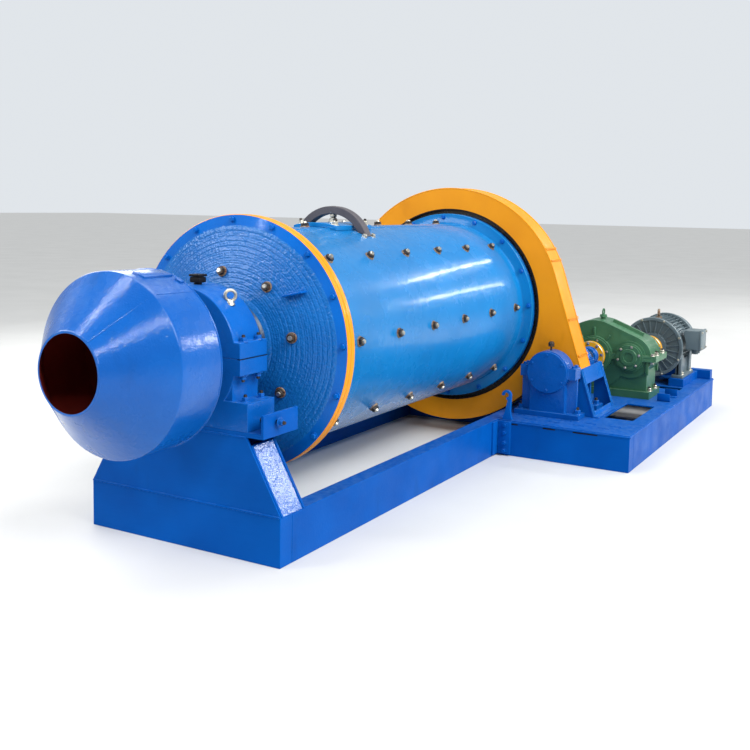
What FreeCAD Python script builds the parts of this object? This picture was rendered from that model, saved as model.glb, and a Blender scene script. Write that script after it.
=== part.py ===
import FreeCAD, Part
import math
import os

# Ball mill with a drum feeder, an edge-driven girth gear and a drive set beside it.
# Millimetres. +X runs along the drum from the feed end to the drive end, +Z is up.
# The origin is on the floor, under the middle of the front cross beam.

V = FreeCAD.Vector
X_AXIS = V(1, 0, 0)

# --- mill body ---
AXIS_Z = 970.0            # height of the drum's axis
SHELL_R = 605.0           # outside of the shell plate
SHELL_T = 14.0
FLANGE_R = 680.0          # both end flanges
FLANGE_T = 35.0           # one flange plate; a shell flange and a head flange make a pair
FEED_FLANGE_X = 410.0     # outer face of the feed head's flange
DRUM_L = 2630.0           # from that face to the discharge head's outer flange face
HEAD_DISH = 80.0          # how far the cone of a head stands out of its flange
HEAD_T = 38.0
HEAD_CONE_R = 600.0
HUB_R = 240.0
TRUNNION_R = 190.0
BORE_R = 150.0
TRUNNION_FLANGE_T = 30.0
FEED_TIP = 678.0          # end of the feed trunnion, measured from the flange face
DISCHARGE_TIP = 540.0
TIP_FLANGE_R = 255.0
RUN_FIT = 0.06            # radial clearance of a shaft in its bearing

# --- drum feeder ---
MOUTH_X = -788.0
MOUTH_R = 183.0
BEND_X = -540.0
FEEDER_R = 430.0
FEEDER_REAR_X = FEED_FLANGE_X - FEED_TIP
FEEDER_REAR_R = 425.0
FEEDER_T = 8.0

# --- manhole ---
MANHOLE_X = 1355.0
MANHOLE_HALF_X = 150.0
MANHOLE_HALF_Y = 108.0
COVER_HALF_X = 210.0
COVER_HALF_Y = 148.0
COVER_T = 26.0
ARCH_R = 267.0
ARCH_DEPTH = 46.0
ARCH_TOP_Z = 1697.0
ARCH_T = 64.0
ARCH_LOW = 60.0           # how far above its centre the arch is cut off, where it nears the shell

# --- gearing ---
MODULE = 14.0
GEAR_TEETH = 112
PINION_TEETH = 23
ADDENDUM = 0.9 * MODULE
DEDENDUM = 1.15 * MODULE
PRESSURE_ANGLE = math.radians(20)
TOOTH_THINNING = 1.6      # taken off each tooth at the pitch circle, for backlash
GEAR_W = 140.0
GEAR_RIM_R = 712.0
GEAR_WEB_T = 34.0
GEAR_WEB_R = 602.0
PINION_ANGLE = math.radians(25.7)   # the line of centres below the level
PITCH_R = MODULE * GEAR_TEETH / 2
PINION_PITCH_R = MODULE * PINION_TEETH / 2
CENTRES = PITCH_R + PINION_PITCH_R
PINION_Y = -CENTRES * math.cos(PINION_ANGLE)
PINION_Z = AXIS_Z - CENTRES * math.sin(PINION_ANGLE)
PINION_SHAFT_R = 50.0
PINION_OVERHANG = 4.0     # how much the pinion is wider than the gear, each side

# --- base frame ---
BEAM_H = 245.0
BEAM_W = 100.0
BEAM_T = 10.0
BASE_HALF_W = 600.0
BASE_END_X = FEED_FLANGE_X * 2 + DRUM_L    # middle of the rear cross beam
STAND_T = 213.0           # depth of a bearing stand along X
STAND_PLATE_T = 16.0
STAND_TOP_HALF = 397.0
STAND_TOP_Z = 602.0
STAND_SIDE_TOP_Z = 560.0
TOP_PLATE_T = 24.0
TOP_PLATE_HALF = 500.0
FEED_TOP_PLATE_L = 290.0
DISCHARGE_TOP_PLATE_L = 265.0   # shorter, to stay clear of the guard
KEEPER_T = 16.0           # upright keeper at each end of the top plate
KEEPER_H = 92.0

# --- main bearings ---
BEARING_X = 60.0          # middle of the feed bearing
BEARING_W = 220.0
BEARING_R = 335.0
EAR_HALF_Y = 362.0
EAR_H = 80.0
FOOT_HALF_Y = 408.0
FOOT_H = 138.0
COLUMN_HALF_Y = 312.0
BODY_STEP = 8.0           # how much narrower the column is than the cap, each side

# --- girth gear guard ---
GUARD_X = 3010.0
GUARD_L = 210.0
GUARD_R = 868.0
GUARD_T = 6.0
GUARD_OPENING_R = 715.0
GUARD_REAR_OPENING_R = 610.0
SKIRT_ANGLE = math.radians(17.9)    # lean of the skirt that runs down to the pinion
SKIRT_END_Z = 578.0
SHAFT_GAP = 14.0          # round the pinion shaft where it passes a plate
CASING_L = 480.0
CASING_T = 10.0
WINDOW_SIDE = 30.0        # left beside the window in the casing's face
WINDOW_SILL = 36.0
WINDOW_HEAD = 108.0
REAR_PLATE_LOW = 150.0    # width of the casing's rear plate at its foot and at its top
REAR_PLATE_HIGH = 46.0
RAIL_W = 34.0
CHEEK_Y = -620.0          # where the front cheek ends, beside the base frame

# --- drive base ---
DRIVE_X0 = 2589.0
DRIVE_X1 = 5260.0
DRIVE_Y0 = -1513.0
DRIVE_Y1 = -600.0
DECK_T = 12.0
DRIVE_BEAM_T = 12.0
GUARD_PIT = (3070.0, 3670.0, -1400.0)    # deck opening under the guard: two X, then its outer Y
GUARD_PIT_BACK = 50.0     # from the casing's foot
MOTOR_PIT = (4480.0, 4600.0, -1400.0, -900.0)

# --- pinion bearings ---
PINION_BEARING_X = (2915.0, 3345.0)
PINION_BEARING_W = 130.0
PINION_BEARING_R = 150.0
PINION_COVER_R = 143.0
PINION_COVER_T = 16.0
PINION_EAR_HALF = 200.0
REAR_EAR_HALF = 162.0     # shorter, to stand inside the pinion casing
PINION_EAR_H = 40.0
PINION_FOOT_HALF = 235.0
PINION_FOOT_T = 34.0
PEDESTAL_HALF = 128.0
PEDESTAL_STEP = 8.0       # the pedestal and the ears are this much narrower than the ring, each side
PINION_WEB_T = 24.0

# --- reducer ---
REDUCER_X0 = 3930.0
REDUCER_W = 290.0
REDUCER_CENTRES = 280.0
LOW_SPEED_R = 268.0       # outside of the case around the big wheel
HIGH_SPEED_R = 165.0
SPLIT_T = 24.0
SPLIT_OVERHANG = 44.0
SPLIT_LIP = 26.0          # how far the split flange stands out of the case
TUB_STEP = 14.0
TUB_ENDS = (30.0, 22.0)   # how far the tub stays inside the arcs, at the motor and the pinion side
FOOT_LIP = 20.0
CASE_FOOT_Z = 301.0
RIB_H = 26.0
RIB_T = 16.0
LOW_BOSS_R = 146.0
HIGH_BOSS_R = 108.0
BOSS_H = 28.0
MOTOR_Y = PINION_Y - REDUCER_CENTRES

# --- shafts and couplings ---
LOW_SHAFT_R = 45.0
HIGH_SHAFT_R = 30.0
LOW_COUPLING_X = 3825.0   # middle of each coupling
HIGH_COUPLING_X = 4510.0
LOW_HUB = (68.0, 75.0)    # radius and half length of the hubs
LOW_DISC_R = 113.0
HIGH_HUB = (58.0, 62.0)
HIGH_DISC_R = 106.0
DISC_W = 46.0
SHAFT_ENTRY = 26.0        # how far a stub enters a case
ENTRY_SPACE = 10.0        # left free past its end

# --- motor ---
MOTOR_X0 = 4612.0
MOTOR_X1 = 5225.0
MOTOR_H = 250.0
MOTOR_R = 236.0
SHIELD_R = 248.0
SHIELD_T = 34.0
COWL_L = 125.0
MOTOR_FOOT_Y = 203.0      # half the spacing of the foot bolts
MOTOR_FOOT_T = 26.0
FOOT_PAD_HALF = 46.0
FOOT_PAD_X = (4662.0, 5060.0)
FOOT_LEG_X = (4672.0, 4970.0)   # where each leg's front face stands
FOOT_LEG = (80.0, 20.0, 90.0)   # length, half thickness, and how far it stays below the axis
STOOL_RAIL_HALF = 60.0
STOOL_X0 = 4632.0
STOOL_X1 = 5170.0
STOOL_END_H = 76.0
STOOL_EDGE = (4.0, 10.0)  # the end block's set-back from the base's rear and outer edges
STOOL_END_Y = 270.0       # how far it reaches past the motor's axis
BOX_X0 = 4790.0
BOX_L = 190.0
BOX_OUT = 115.0
BOX_H = 160.0
BOX_DROP = 20.0           # how far the box hangs below the motor's axis
COWL_STEP = 4.0

# --- lifting hook ---
HOOK_Y = -650.0
HOOK_H = 205.0
HOOK_R = 34.0
HOOK_EYE_R = 17.0
HOOK_T = 24.0
HOOK_X = 2605.0           # its front face
HOOK_FOOT = (-44.0, 26.0) # its foot's edges, from the eye's middle, at the deck
HOOK_NECK = (-30.0, 8.0)
HOOK_NECK_H = 55.0
HOOK_LIP = 4.0            # how far the mouth stays below the eye's middle


def box(x0, x1, y0, y1, z0, z1):
    return Part.makeBox(x1 - x0, y1 - y0, z1 - z0, V(x0, y0, z0))


def cylinder(x0, x1, radius, y=0.0, z=AXIS_Z):
    return Part.makeCylinder(radius, x1 - x0, V(x0, y, z), X_AXIS)


def tube(x0, x1, outer, inner, y=0.0, z=AXIS_Z):
    return cylinder(x0, x1, outer, y, z).cut(cylinder(x0 - 1, x1 + 1, inner, y, z))


def prism(points, x0, x1):
    """A flat outline in Y and Z, pulled along X."""
    wire = Part.makePolygon([V(x0, y, z) for y, z in points + points[:1]])
    return Part.Face(wire).extrude(V(x1 - x0, 0, 0))


def turned(profile):
    """A closed outline of (x, radius) points turned about the drum's axis."""
    wire = Part.makePolygon([V(x, 0, AXIS_Z + r) for x, r in profile + profile[:1]])
    return Part.Face(wire).revolve(V(0, 0, AXIS_Z), X_AXIS, 360)


def joined(first, *others):
    return first.fuse(list(others)).removeSplitter()


def drilled(shape, *tools):
    return shape.cut(list(tools))


def mirrored(shape):
    middle = V(BASE_END_X / 2, 0, 0)
    return shape.mirror(middle, X_AXIS)


def save(name, shape):
    if isinstance(shape, Part.Compound) and len(shape.Solids) == 1:
        shape = shape.Solids[0]
    print(name, "solids", len(shape.Solids), "valid", shape.isValid(), "litres", round(shape.Volume / 1e6, 2))
    shape.exportStep("parts/%s.step" % name)


def beam(x0, x1, y0, y1, z1, wall):
    """A plate-built box beam along its longer side, with open ends."""
    outer = box(x0, x1, y0, y1, 0, z1)
    if x1 - x0 > y1 - y0:
        inner = box(x0 - 1, x1 + 1, y0 + wall, y1 - wall, wall, z1 - wall)
    else:
        inner = box(x0 + wall, x1 - wall, y0 - 1, y1 + 1, wall, z1 - wall)
    return outer.cut(inner)


def base_frame():
    half = BEAM_W / 2
    save("front_cross_beam", box(-half, half, -BASE_HALF_W, BASE_HALF_W, 0, BEAM_H))
    save("rear_cross_beam", box(BASE_END_X - half, BASE_END_X + half, -BASE_HALF_W, BASE_HALF_W, 0, BEAM_H))
    for name, y0 in (("near_long_beam", -BASE_HALF_W), ("far_long_beam", BASE_HALF_W - BEAM_W)):
        save(name, beam(half, BASE_END_X - half, y0, y0 + BEAM_W, BEAM_H, BEAM_T))


def stand_parts(top_l):
    """A bearing stand at the feed end: trapezoid plates, leaning sides, a top plate with keepers."""
    x0 = -BEAM_W / 2
    x1 = x0 + STAND_T
    lean = (BASE_HALF_W - STAND_TOP_HALF) / (STAND_TOP_Z - BEAM_H)
    side_y = BASE_HALF_W - lean * (STAND_SIDE_TOP_Z - BEAM_H)
    outline = [(-BASE_HALF_W, BEAM_H), (BASE_HALF_W, BEAM_H),
               (STAND_TOP_HALF, STAND_TOP_Z), (-STAND_TOP_HALF, STAND_TOP_Z)]
    side = [(-BASE_HALF_W, BEAM_H), (-BASE_HALF_W + STAND_PLATE_T, BEAM_H),
            (-side_y + STAND_PLATE_T, STAND_SIDE_TOP_Z), (-side_y, STAND_SIDE_TOP_Z)]
    far_side = [(-y, z) for y, z in reversed(side)]
    plate_top = STAND_TOP_Z + TOP_PLATE_T
    top = box(x0, x0 + top_l, -TOP_PLATE_HALF, TOP_PLATE_HALF, STAND_TOP_Z, plate_top)
    keepers = [box(x0, x0 + top_l, y0, y0 + KEEPER_T, STAND_TOP_Z, plate_top + KEEPER_H)
               for y0 in (-TOP_PLATE_HALF, TOP_PLATE_HALF - KEEPER_T)]
    return {
        "stand_outer_plate": prism(outline, x0, x0 + STAND_PLATE_T),
        "stand_inner_plate": prism(outline, x1 - STAND_PLATE_T, x1),
        "stand_near_side": prism(side, x0 + STAND_PLATE_T, x1 - STAND_PLATE_T),
        "stand_far_side": prism(far_side, x0 + STAND_PLATE_T, x1 - STAND_PLATE_T),
        "stand_top_plate": joined(top, *keepers),
    }


def bearing_parts():
    """The feed end's split trunnion bearing, parted at the height of the axis."""
    x0 = BEARING_X - BEARING_W / 2
    x1 = BEARING_X + BEARING_W / 2
    seat = STAND_TOP_Z + TOP_PLATE_T
    ring = cylinder(x0, x1, BEARING_R)
    ears = box(x0, x1, -EAR_HALF_Y, EAR_HALF_Y, AXIS_Z - EAR_H, AXIS_Z + EAR_H)
    column = box(x0 + BODY_STEP, x1 - BODY_STEP, -COLUMN_HALF_Y, COLUMN_HALF_Y, seat, AXIS_Z - EAR_H)
    foot = box(x0, x1, -FOOT_HALF_Y, FOOT_HALF_Y, seat, seat + FOOT_H)
    bore = cylinder(x0 - 1, x1 + 1, TRUNNION_R + RUN_FIT)
    block = drilled(joined(ring, ears, column, foot), bore)
    reach = 2 * FLANGE_R
    lower = box(x0 - 1, x1 + 1, -reach, reach, seat, AXIS_Z)
    upper = box(x0 - 1, x1 + 1, -reach, reach, AXIS_Z, AXIS_Z + reach)
    return {"bearing_body": block.common(lower), "bearing_cap": block.common(upper)}


def end_supports():
    for name, shape in {**stand_parts(FEED_TOP_PLATE_L), **bearing_parts()}.items():
        save("feed_" + name, shape)
    for name, shape in {**stand_parts(DISCHARGE_TOP_PLATE_L), **bearing_parts()}.items():
        save("discharge_" + name, mirrored(shape))


def feed_head():
    face = FEED_FLANGE_X
    inside = face + FLANGE_T
    tip = face - HEAD_DISH
    return turned([(face, FLANGE_R), (face, HEAD_CONE_R), (tip, HUB_R), (tip, BORE_R),
                   (tip + HEAD_T, BORE_R), (tip + HEAD_T, HUB_R),
                   (inside, HEAD_CONE_R - HEAD_T), (inside, FLANGE_R)])


def trunnion(tip_from_flange):
    root = FEED_FLANGE_X - HEAD_DISH
    tip = FEED_FLANGE_X - tip_from_flange
    shoulder = root - TRUNNION_FLANGE_T
    return turned([(tip, BORE_R), (tip, TIP_FLANGE_R), (tip + TRUNNION_FLANGE_T, TIP_FLANGE_R),
                   (tip + TRUNNION_FLANGE_T, TRUNNION_R), (shoulder, TRUNNION_R),
                   (shoulder, HUB_R), (root, HUB_R), (root, BORE_R)])


def drum_shell():
    x0 = FEED_FLANGE_X + FLANGE_T
    x1 = FEED_FLANGE_X + DRUM_L - FLANGE_T
    inner = SHELL_R - SHELL_T
    shell = turned([(x0, inner), (x0, FLANGE_R), (x0 + FLANGE_T, FLANGE_R), (x0 + FLANGE_T, SHELL_R),
                    (x1 - FLANGE_T, SHELL_R), (x1 - FLANGE_T, FLANGE_R), (x1, FLANGE_R), (x1, inner)])
    hole = box(MANHOLE_X - MANHOLE_HALF_X, MANHOLE_X + MANHOLE_HALF_X,
               -MANHOLE_HALF_Y, MANHOLE_HALF_Y, AXIS_Z, AXIS_Z + FLANGE_R)
    return shell.cut(hole)


def manhole_cover():
    x0, x1 = MANHOLE_X - COVER_HALF_X, MANHOLE_X + COVER_HALF_X
    ring = tube(x0, x1, SHELL_R + COVER_T, SHELL_R)
    patch = box(x0, x1, -COVER_HALF_Y, COVER_HALF_Y, AXIS_Z, AXIS_Z + FLANGE_R)
    return ring.common(patch)


def manhole_strongback():
    """The arched bar that bridges the manhole cover, standing on the shell."""
    x0, x1 = MANHOLE_X - ARCH_T / 2, MANHOLE_X + ARCH_T / 2
    arch = tube(x0, x1, ARCH_R, ARCH_R - ARCH_DEPTH, 0, ARCH_TOP_Z - ARCH_R)
    above = box(x0 - 1, x1 + 1, -ARCH_R - 1, ARCH_R + 1, ARCH_TOP_Z - ARCH_R + ARCH_LOW, ARCH_TOP_Z + 1)
    return arch.common(above).cut(cylinder(x0 - 2, x1 + 2, SHELL_R))


def feeder():
    t = FEEDER_T
    rear = FEEDER_REAR_X
    return turned([(MOUTH_X, MOUTH_R - t), (MOUTH_X, MOUTH_R), (BEND_X, FEEDER_R), (rear, FEEDER_REAR_R),
                   (rear, BORE_R), (rear - t, BORE_R), (rear - t, FEEDER_REAR_R - t), (BEND_X, FEEDER_R - t)])


def gear_outline(teeth, first_tooth):
    """Points of an involute gear, with first_tooth the angle of one tooth's middle, from +Y to +Z."""
    pitch_r = MODULE * teeth / 2
    base_r = pitch_r * math.cos(PRESSURE_ANGLE)
    half_at_pitch = (math.pi * MODULE / 2 - TOOTH_THINNING) / 2 / pitch_r

    def half_angle(radius):
        angle = math.acos(min(1.0, base_r / radius))
        involute = math.tan(angle) - angle
        return half_at_pitch + math.tan(PRESSURE_ANGLE) - PRESSURE_ANGLE - involute

    radii = [pitch_r - DEDENDUM, pitch_r, pitch_r + ADDENDUM / 2, pitch_r + ADDENDUM]
    flank = [(r, half_angle(r)) for r in radii]
    points = []
    for tooth in range(teeth):
        middle = first_tooth + 2 * math.pi * tooth / teeth
        for radius, half in flank:
            points.append((radius, middle - half))
        for radius, half in reversed(flank):
            points.append((radius, middle + half))
    return points


def gear_prism(teeth, first_tooth, y, z, x0, x1):
    points = [(y + r * math.cos(a), z + r * math.sin(a)) for r, a in gear_outline(teeth, first_tooth)]
    return prism(points, x0, x1)


def girth_gear():
    x0 = FEED_FLANGE_X + DRUM_L
    x1 = x0 + GEAR_W
    towards_pinion = math.pi + PINION_ANGLE
    half_pitch = math.pi / GEAR_TEETH
    wheel = gear_prism(GEAR_TEETH, towards_pinion + half_pitch, 0, AXIS_Z, x0, x1)
    return drilled(wheel, cylinder(x0 - 1, x1 + 1, GEAR_WEB_R), cylinder(x0 + GEAR_WEB_T, x1 + 1, GEAR_RIM_R))


def pinion_shaft():
    gear_x = FEED_FLANGE_X + DRUM_L
    teeth = gear_prism(PINION_TEETH, PINION_ANGLE, PINION_Y, PINION_Z,
                       gear_x - PINION_OVERHANG, gear_x + GEAR_W + PINION_OVERHANG)
    start = PINION_BEARING_X[0] - PINION_BEARING_W / 2 + ENTRY_SPACE
    shaft = cylinder(start, LOW_COUPLING_X - LOW_HUB[1], PINION_SHAFT_R, PINION_Y, PINION_Z)
    return joined(teeth, shaft)


def coupling(middle, y, hub, disc_r, shaft):
    hub_r, hub_half = hub
    shaft_r, shaft_x0, shaft_x1 = shaft
    hubs = cylinder(middle - hub_half, middle + hub_half, hub_r, y, PINION_Z)
    disc = cylinder(middle - DISC_W / 2, middle + DISC_W / 2, disc_r, y, PINION_Z)
    return joined(hubs, disc, cylinder(shaft_x0, shaft_x1, shaft_r, y, PINION_Z))


def drive_line():
    save("pinion_shaft", pinion_shaft())
    into_reducer = REDUCER_X0 - BOSS_H + SHAFT_ENTRY
    out_of_reducer = REDUCER_X0 + REDUCER_W + BOSS_H - SHAFT_ENTRY
    low_shaft = (LOW_SHAFT_R, LOW_COUPLING_X, into_reducer)
    high_shaft = (HIGH_SHAFT_R, out_of_reducer, MOTOR_X0 + SHAFT_ENTRY)
    save("low_speed_coupling", coupling(LOW_COUPLING_X, PINION_Y, LOW_HUB, LOW_DISC_R, low_shaft))
    save("high_speed_coupling", coupling(HIGH_COUPLING_X, MOTOR_Y, HIGH_HUB, HIGH_DISC_R, high_shaft))


def skirt_outline(radius, lowest):
    """The guard's round outline with its skirt: the tangent down to the pinion, as Y and Z points."""
    top = (-radius * math.cos(SKIRT_ANGLE), AXIS_Z + radius * math.sin(SKIRT_ANGLE))
    end_y = top[0] - (top[1] - SKIRT_END_Z) * math.tan(SKIRT_ANGLE)
    inner_y = -math.sqrt(radius ** 2 - (AXIS_Z - lowest) ** 2)
    return [top, (end_y, SKIRT_END_Z), (end_y, lowest), (inner_y, lowest)]


def guard_solid(radius, lowest, x0, x1):
    skirt = prism(skirt_outline(radius, lowest) + [(0, AXIS_Z)], x0, x1)
    return joined(cylinder(x0, x1, radius), skirt)


def guard_plate(x0, opening):
    x1 = x0 + GUARD_T
    plate = guard_solid(GUARD_R, SKIRT_END_Z, x0, x1)
    shaft_gap = cylinder(x0 - 1, x1 + 1, PINION_SHAFT_R + SHAFT_GAP, PINION_Y, PINION_Z)
    return drilled(plate, cylinder(x0 - 1, x1 + 1, opening), shaft_gap)


def guard_rim():
    x0, x1 = GUARD_X + GUARD_T, GUARD_X + GUARD_L - GUARD_T
    lowest = PINION_Z - PINION_PITCH_R - 3 * MODULE
    rim = guard_solid(GUARD_R, lowest, x0, x1).cut(guard_solid(GUARD_R - GUARD_T, lowest - 1, x0 - 1, x1 + 1))
    inner_y = -math.sqrt(GUARD_R ** 2 - (AXIS_Z - lowest) ** 2)
    below_pinion = box(x0 - 2, x1 + 2, -2 * GUARD_R, inner_y, 0, SKIRT_END_Z)
    rim = rim.cut(below_pinion)
    return rim


def casing_line(z):
    """Where the leaning face of the pinion casing stands at a height."""
    top = -GUARD_R * math.cos(SKIRT_ANGLE)
    return top - (AXIS_Z + GUARD_R * math.sin(SKIRT_ANGLE) - z) * math.tan(SKIRT_ANGLE)


def pinion_casing():
    """The blue lower casing under the skirt: a leaning windowed face and a cheek at each end."""
    x0 = GUARD_X
    x1 = x0 + CASING_L
    t = CASING_T
    low, high = BEAM_H, SKIRT_END_Z
    face = prism([(casing_line(low), low), (casing_line(low) + t, low),
                  (casing_line(high) + t, high), (casing_line(high), high)], x0, x1)
    window = box(x0 + WINDOW_SIDE, x1 - WINDOW_SIDE, -2 * GUARD_R, PINION_Y,
                 low + WINDOW_SILL, high - WINDOW_HEAD)
    cheek_x = x0 + GUARD_T
    cheek = prism([(casing_line(low), low), (CHEEK_Y, low), (CHEEK_Y, high), (casing_line(high), high)],
                  cheek_x, cheek_x + t)
    cheek = drilled(cheek, cylinder(x0 - 1, x0 + 3 * t, GUARD_R + 2),
                    cylinder(x0 - 1, x0 + 3 * t, PINION_SHAFT_R + SHAFT_GAP, PINION_Y, PINION_Z),
                    cylinder(cheek_x - 1, x0 + 3 * t, PINION_PITCH_R + 2 * MODULE, PINION_Y, PINION_Z))
    rear = prism([(casing_line(low), low), (casing_line(low) + REAR_PLATE_LOW, low),
                  (casing_line(high) + REAR_PLATE_HIGH, high), (casing_line(high), high)], x1 - t, x1)
    rail = box(x0, x1, casing_line(low) - RAIL_W, casing_line(low) + t, low, low + t)
    return joined(face.cut(window), cheek, rear, rail)


def drive_base():
    z1 = BEAM_H - DECK_T
    w = BEAM_W
    save("drive_front_beam", box(DRIVE_X0, DRIVE_X0 + w, DRIVE_Y0, DRIVE_Y1, 0, z1))
    save("drive_rear_beam", box(DRIVE_X1 - w, DRIVE_X1, DRIVE_Y0, DRIVE_Y1, 0, z1))
    for name, y0 in (("drive_outer_beam", DRIVE_Y0), ("drive_inner_beam", DRIVE_Y1 - w)):
        save(name, beam(DRIVE_X0 + w, DRIVE_X1 - w, y0, y0 + w, z1, DRIVE_BEAM_T))
    deck = box(DRIVE_X0, DRIVE_X1, DRIVE_Y0, DRIVE_Y1, z1, BEAM_H)
    pits = [GUARD_PIT + (casing_line(BEAM_H) - GUARD_PIT_BACK,), MOTOR_PIT]
    save("drive_deck", drilled(deck, *[box(*pit, z1 - 1, BEAM_H + 1) for pit in pits]))


def pinion_bearing(middle, ear_half, blind_side):
    x0, x1 = middle - PINION_BEARING_W / 2, middle + PINION_BEARING_W / 2
    y, z = PINION_Y, PINION_Z
    step = PEDESTAL_STEP
    ring = cylinder(x0, x1, PINION_BEARING_R, y, z)
    pedestal = box(x0 + step, x1 - step, y - PEDESTAL_HALF, y + PEDESTAL_HALF, BEAM_H, z)
    ears = box(x0 + step, x1 - step, y - ear_half, y + ear_half, z - PINION_EAR_H, z + PINION_EAR_H)
    foot = box(x0 - step, x1 + step, y - PINION_FOOT_HALF, y + PINION_FOOT_HALF,
               BEAM_H, BEAM_H + PINION_FOOT_T)
    web = box(middle - PINION_WEB_T / 2, middle + PINION_WEB_T / 2, y - ear_half, y + ear_half, BEAM_H, z)
    covers = cylinder(x0 - PINION_COVER_T, x1 + PINION_COVER_T, PINION_COVER_R, y, z)
    bore_from = x0 if blind_side else x0 - PINION_COVER_T - 1
    bore = cylinder(bore_from, x1 + PINION_COVER_T + 1, PINION_SHAFT_R + RUN_FIT, y, z)
    return drilled(joined(ring, pedestal, ears, foot, web, covers), bore)


def reducer_outline(grow):
    """The cover's outline: an arc over each wheel and the straight that joins them."""
    big, small = LOW_SPEED_R + grow, HIGH_SPEED_R + grow
    lean = math.asin((big - small) / REDUCER_CENTRES)
    up = (-math.sin(lean), math.cos(lean))
    a = (PINION_Y + big * up[0], PINION_Z + big * up[1])
    b = (MOTOR_Y + small * up[0], PINION_Z + small * up[1])
    return [a, b, (MOTOR_Y, PINION_Z), (PINION_Y, PINION_Z)]


def reducer_parts():
    x0, x1 = REDUCER_X0, REDUCER_X0 + REDUCER_W
    z = PINION_Z
    inner_end, outer_end = PINION_Y + LOW_SPEED_R, MOTOR_Y - HIGH_SPEED_R
    arcs = joined(cylinder(x0, x1, LOW_SPEED_R, PINION_Y, z), cylinder(x0, x1, HIGH_SPEED_R, MOTOR_Y, z),
                  prism(reducer_outline(0), x0, x1))
    split = box(x0 - SPLIT_LIP, x1 + SPLIT_LIP, outer_end - SPLIT_OVERHANG, inner_end + FOOT_LIP,
                z - SPLIT_T, z + SPLIT_T)
    tub = box(x0 + TUB_STEP, x1 - TUB_STEP, outer_end + TUB_ENDS[0], inner_end - TUB_ENDS[1], BEAM_H, z)
    foot = box(x0 - FOOT_LIP, x1 + FOOT_LIP, outer_end, inner_end, BEAM_H, CASE_FOOT_Z)
    rib_x = (x0 + x1 - RIB_T) / 2
    rib = prism(reducer_outline(RIB_H), rib_x, rib_x + RIB_T)
    bosses = [cylinder(x0 - BOSS_H, x1 + BOSS_H, LOW_BOSS_R, PINION_Y, z),
              cylinder(x0 - BOSS_H, x1 + BOSS_H, HIGH_BOSS_R, MOTOR_Y, z)]
    entry = SHAFT_ENTRY + ENTRY_SPACE
    bores = [cylinder(x0 - BOSS_H - 1, x0 - BOSS_H + entry, LOW_SHAFT_R + RUN_FIT, PINION_Y, z),
             cylinder(x1 + BOSS_H - entry, x1 + BOSS_H + 1, HIGH_SHAFT_R + RUN_FIT, MOTOR_Y, z)]
    case = drilled(joined(arcs, split, tub, foot, rib, *bosses), *bores)
    far = 1000.0
    region = (x0 - far, x1 + far, MOTOR_Y - far, PINION_Y + far)
    return (case.common(box(*region, BEAM_H, z)), case.common(box(*region, z, z + far)))


def motor():
    y, z = MOTOR_Y, PINION_Z
    foot_z = z - MOTOR_H
    frame = cylinder(MOTOR_X0 + SHIELD_T, MOTOR_X1 - COWL_L, MOTOR_R, y, z)
    shields = [cylinder(MOTOR_X0, MOTOR_X0 + SHIELD_T, SHIELD_R, y, z),
               cylinder(MOTOR_X1 - COWL_L - SHIELD_T, MOTOR_X1 - COWL_L, SHIELD_R, y, z)]
    cowl = cylinder(MOTOR_X1 - COWL_L, MOTOR_X1, MOTOR_R - COWL_STEP, y, z)
    feet = []
    leg_l, leg_half, leg_drop = FOOT_LEG
    for side in (-1, 1):
        pad_y = y + side * MOTOR_FOOT_Y
        feet.append(box(*FOOT_PAD_X, pad_y - FOOT_PAD_HALF, pad_y + FOOT_PAD_HALF,
                        foot_z, foot_z + MOTOR_FOOT_T))
        for x in FOOT_LEG_X:
            feet.append(box(x, x + leg_l, pad_y - leg_half, pad_y + leg_half, foot_z, z - leg_drop))
    shape = joined(frame, cowl, *shields, *feet)
    bore = cylinder(MOTOR_X0 - 1, MOTOR_X0 + SHAFT_ENTRY + ENTRY_SPACE, HIGH_SHAFT_R + RUN_FIT, y, z)
    return shape.cut(bore)


def terminal_box():
    side = MOTOR_Y - MOTOR_R
    z0 = PINION_Z - BOX_DROP
    block = box(BOX_X0, BOX_X0 + BOX_L, side - BOX_OUT, side + BOX_DROP, z0, z0 + BOX_H)
    return block.cut(cylinder(BOX_X0 - 1, BOX_X0 + BOX_L + 1, MOTOR_R, MOTOR_Y, PINION_Z))


def motor_stool():
    top = PINION_Z - MOTOR_H
    half = STOOL_RAIL_HALF
    rails = [box(STOOL_X0, STOOL_X1, y - half, y + half, BEAM_H, top)
             for y in (MOTOR_Y - MOTOR_FOOT_Y, MOTOR_Y + MOTOR_FOOT_Y)]
    end = box(STOOL_X1, DRIVE_X1 - STOOL_EDGE[0], DRIVE_Y0 + STOOL_EDGE[1], MOTOR_Y + STOOL_END_Y,
              BEAM_H, BEAM_H + STOOL_END_H)
    return joined(end, *rails)


def lifting_hook():
    """A flat shepherd's crook that opens towards the mill, on a flared foot."""
    z0 = BEAM_H
    x0, x1 = HOOK_X, HOOK_X + HOOK_T
    eye_z = z0 + HOOK_H - HOOK_R
    ring = tube(x0, x1, HOOK_R, HOOK_EYE_R, HOOK_Y, eye_z)
    mouth = box(x0 - 1, x1 + 1, HOOK_Y, HOOK_Y + HOOK_R + 1, eye_z - HOOK_R - 1, eye_z - HOOK_LIP)
    neck_z = z0 + HOOK_NECK_H
    stem = prism([(HOOK_Y + HOOK_FOOT[0], z0), (HOOK_Y + HOOK_FOOT[1], z0), (HOOK_Y + HOOK_NECK[1], neck_z),
                  (HOOK_Y - HOOK_EYE_R, eye_z), (HOOK_Y - HOOK_R, eye_z), (HOOK_Y + HOOK_NECK[0], neck_z)],
                 x0, x1)
    stem = stem.cut(cylinder(x0 - 1, x1 + 1, HOOK_EYE_R, HOOK_Y, eye_z))
    return joined(ring.cut(mouth), stem)


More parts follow.
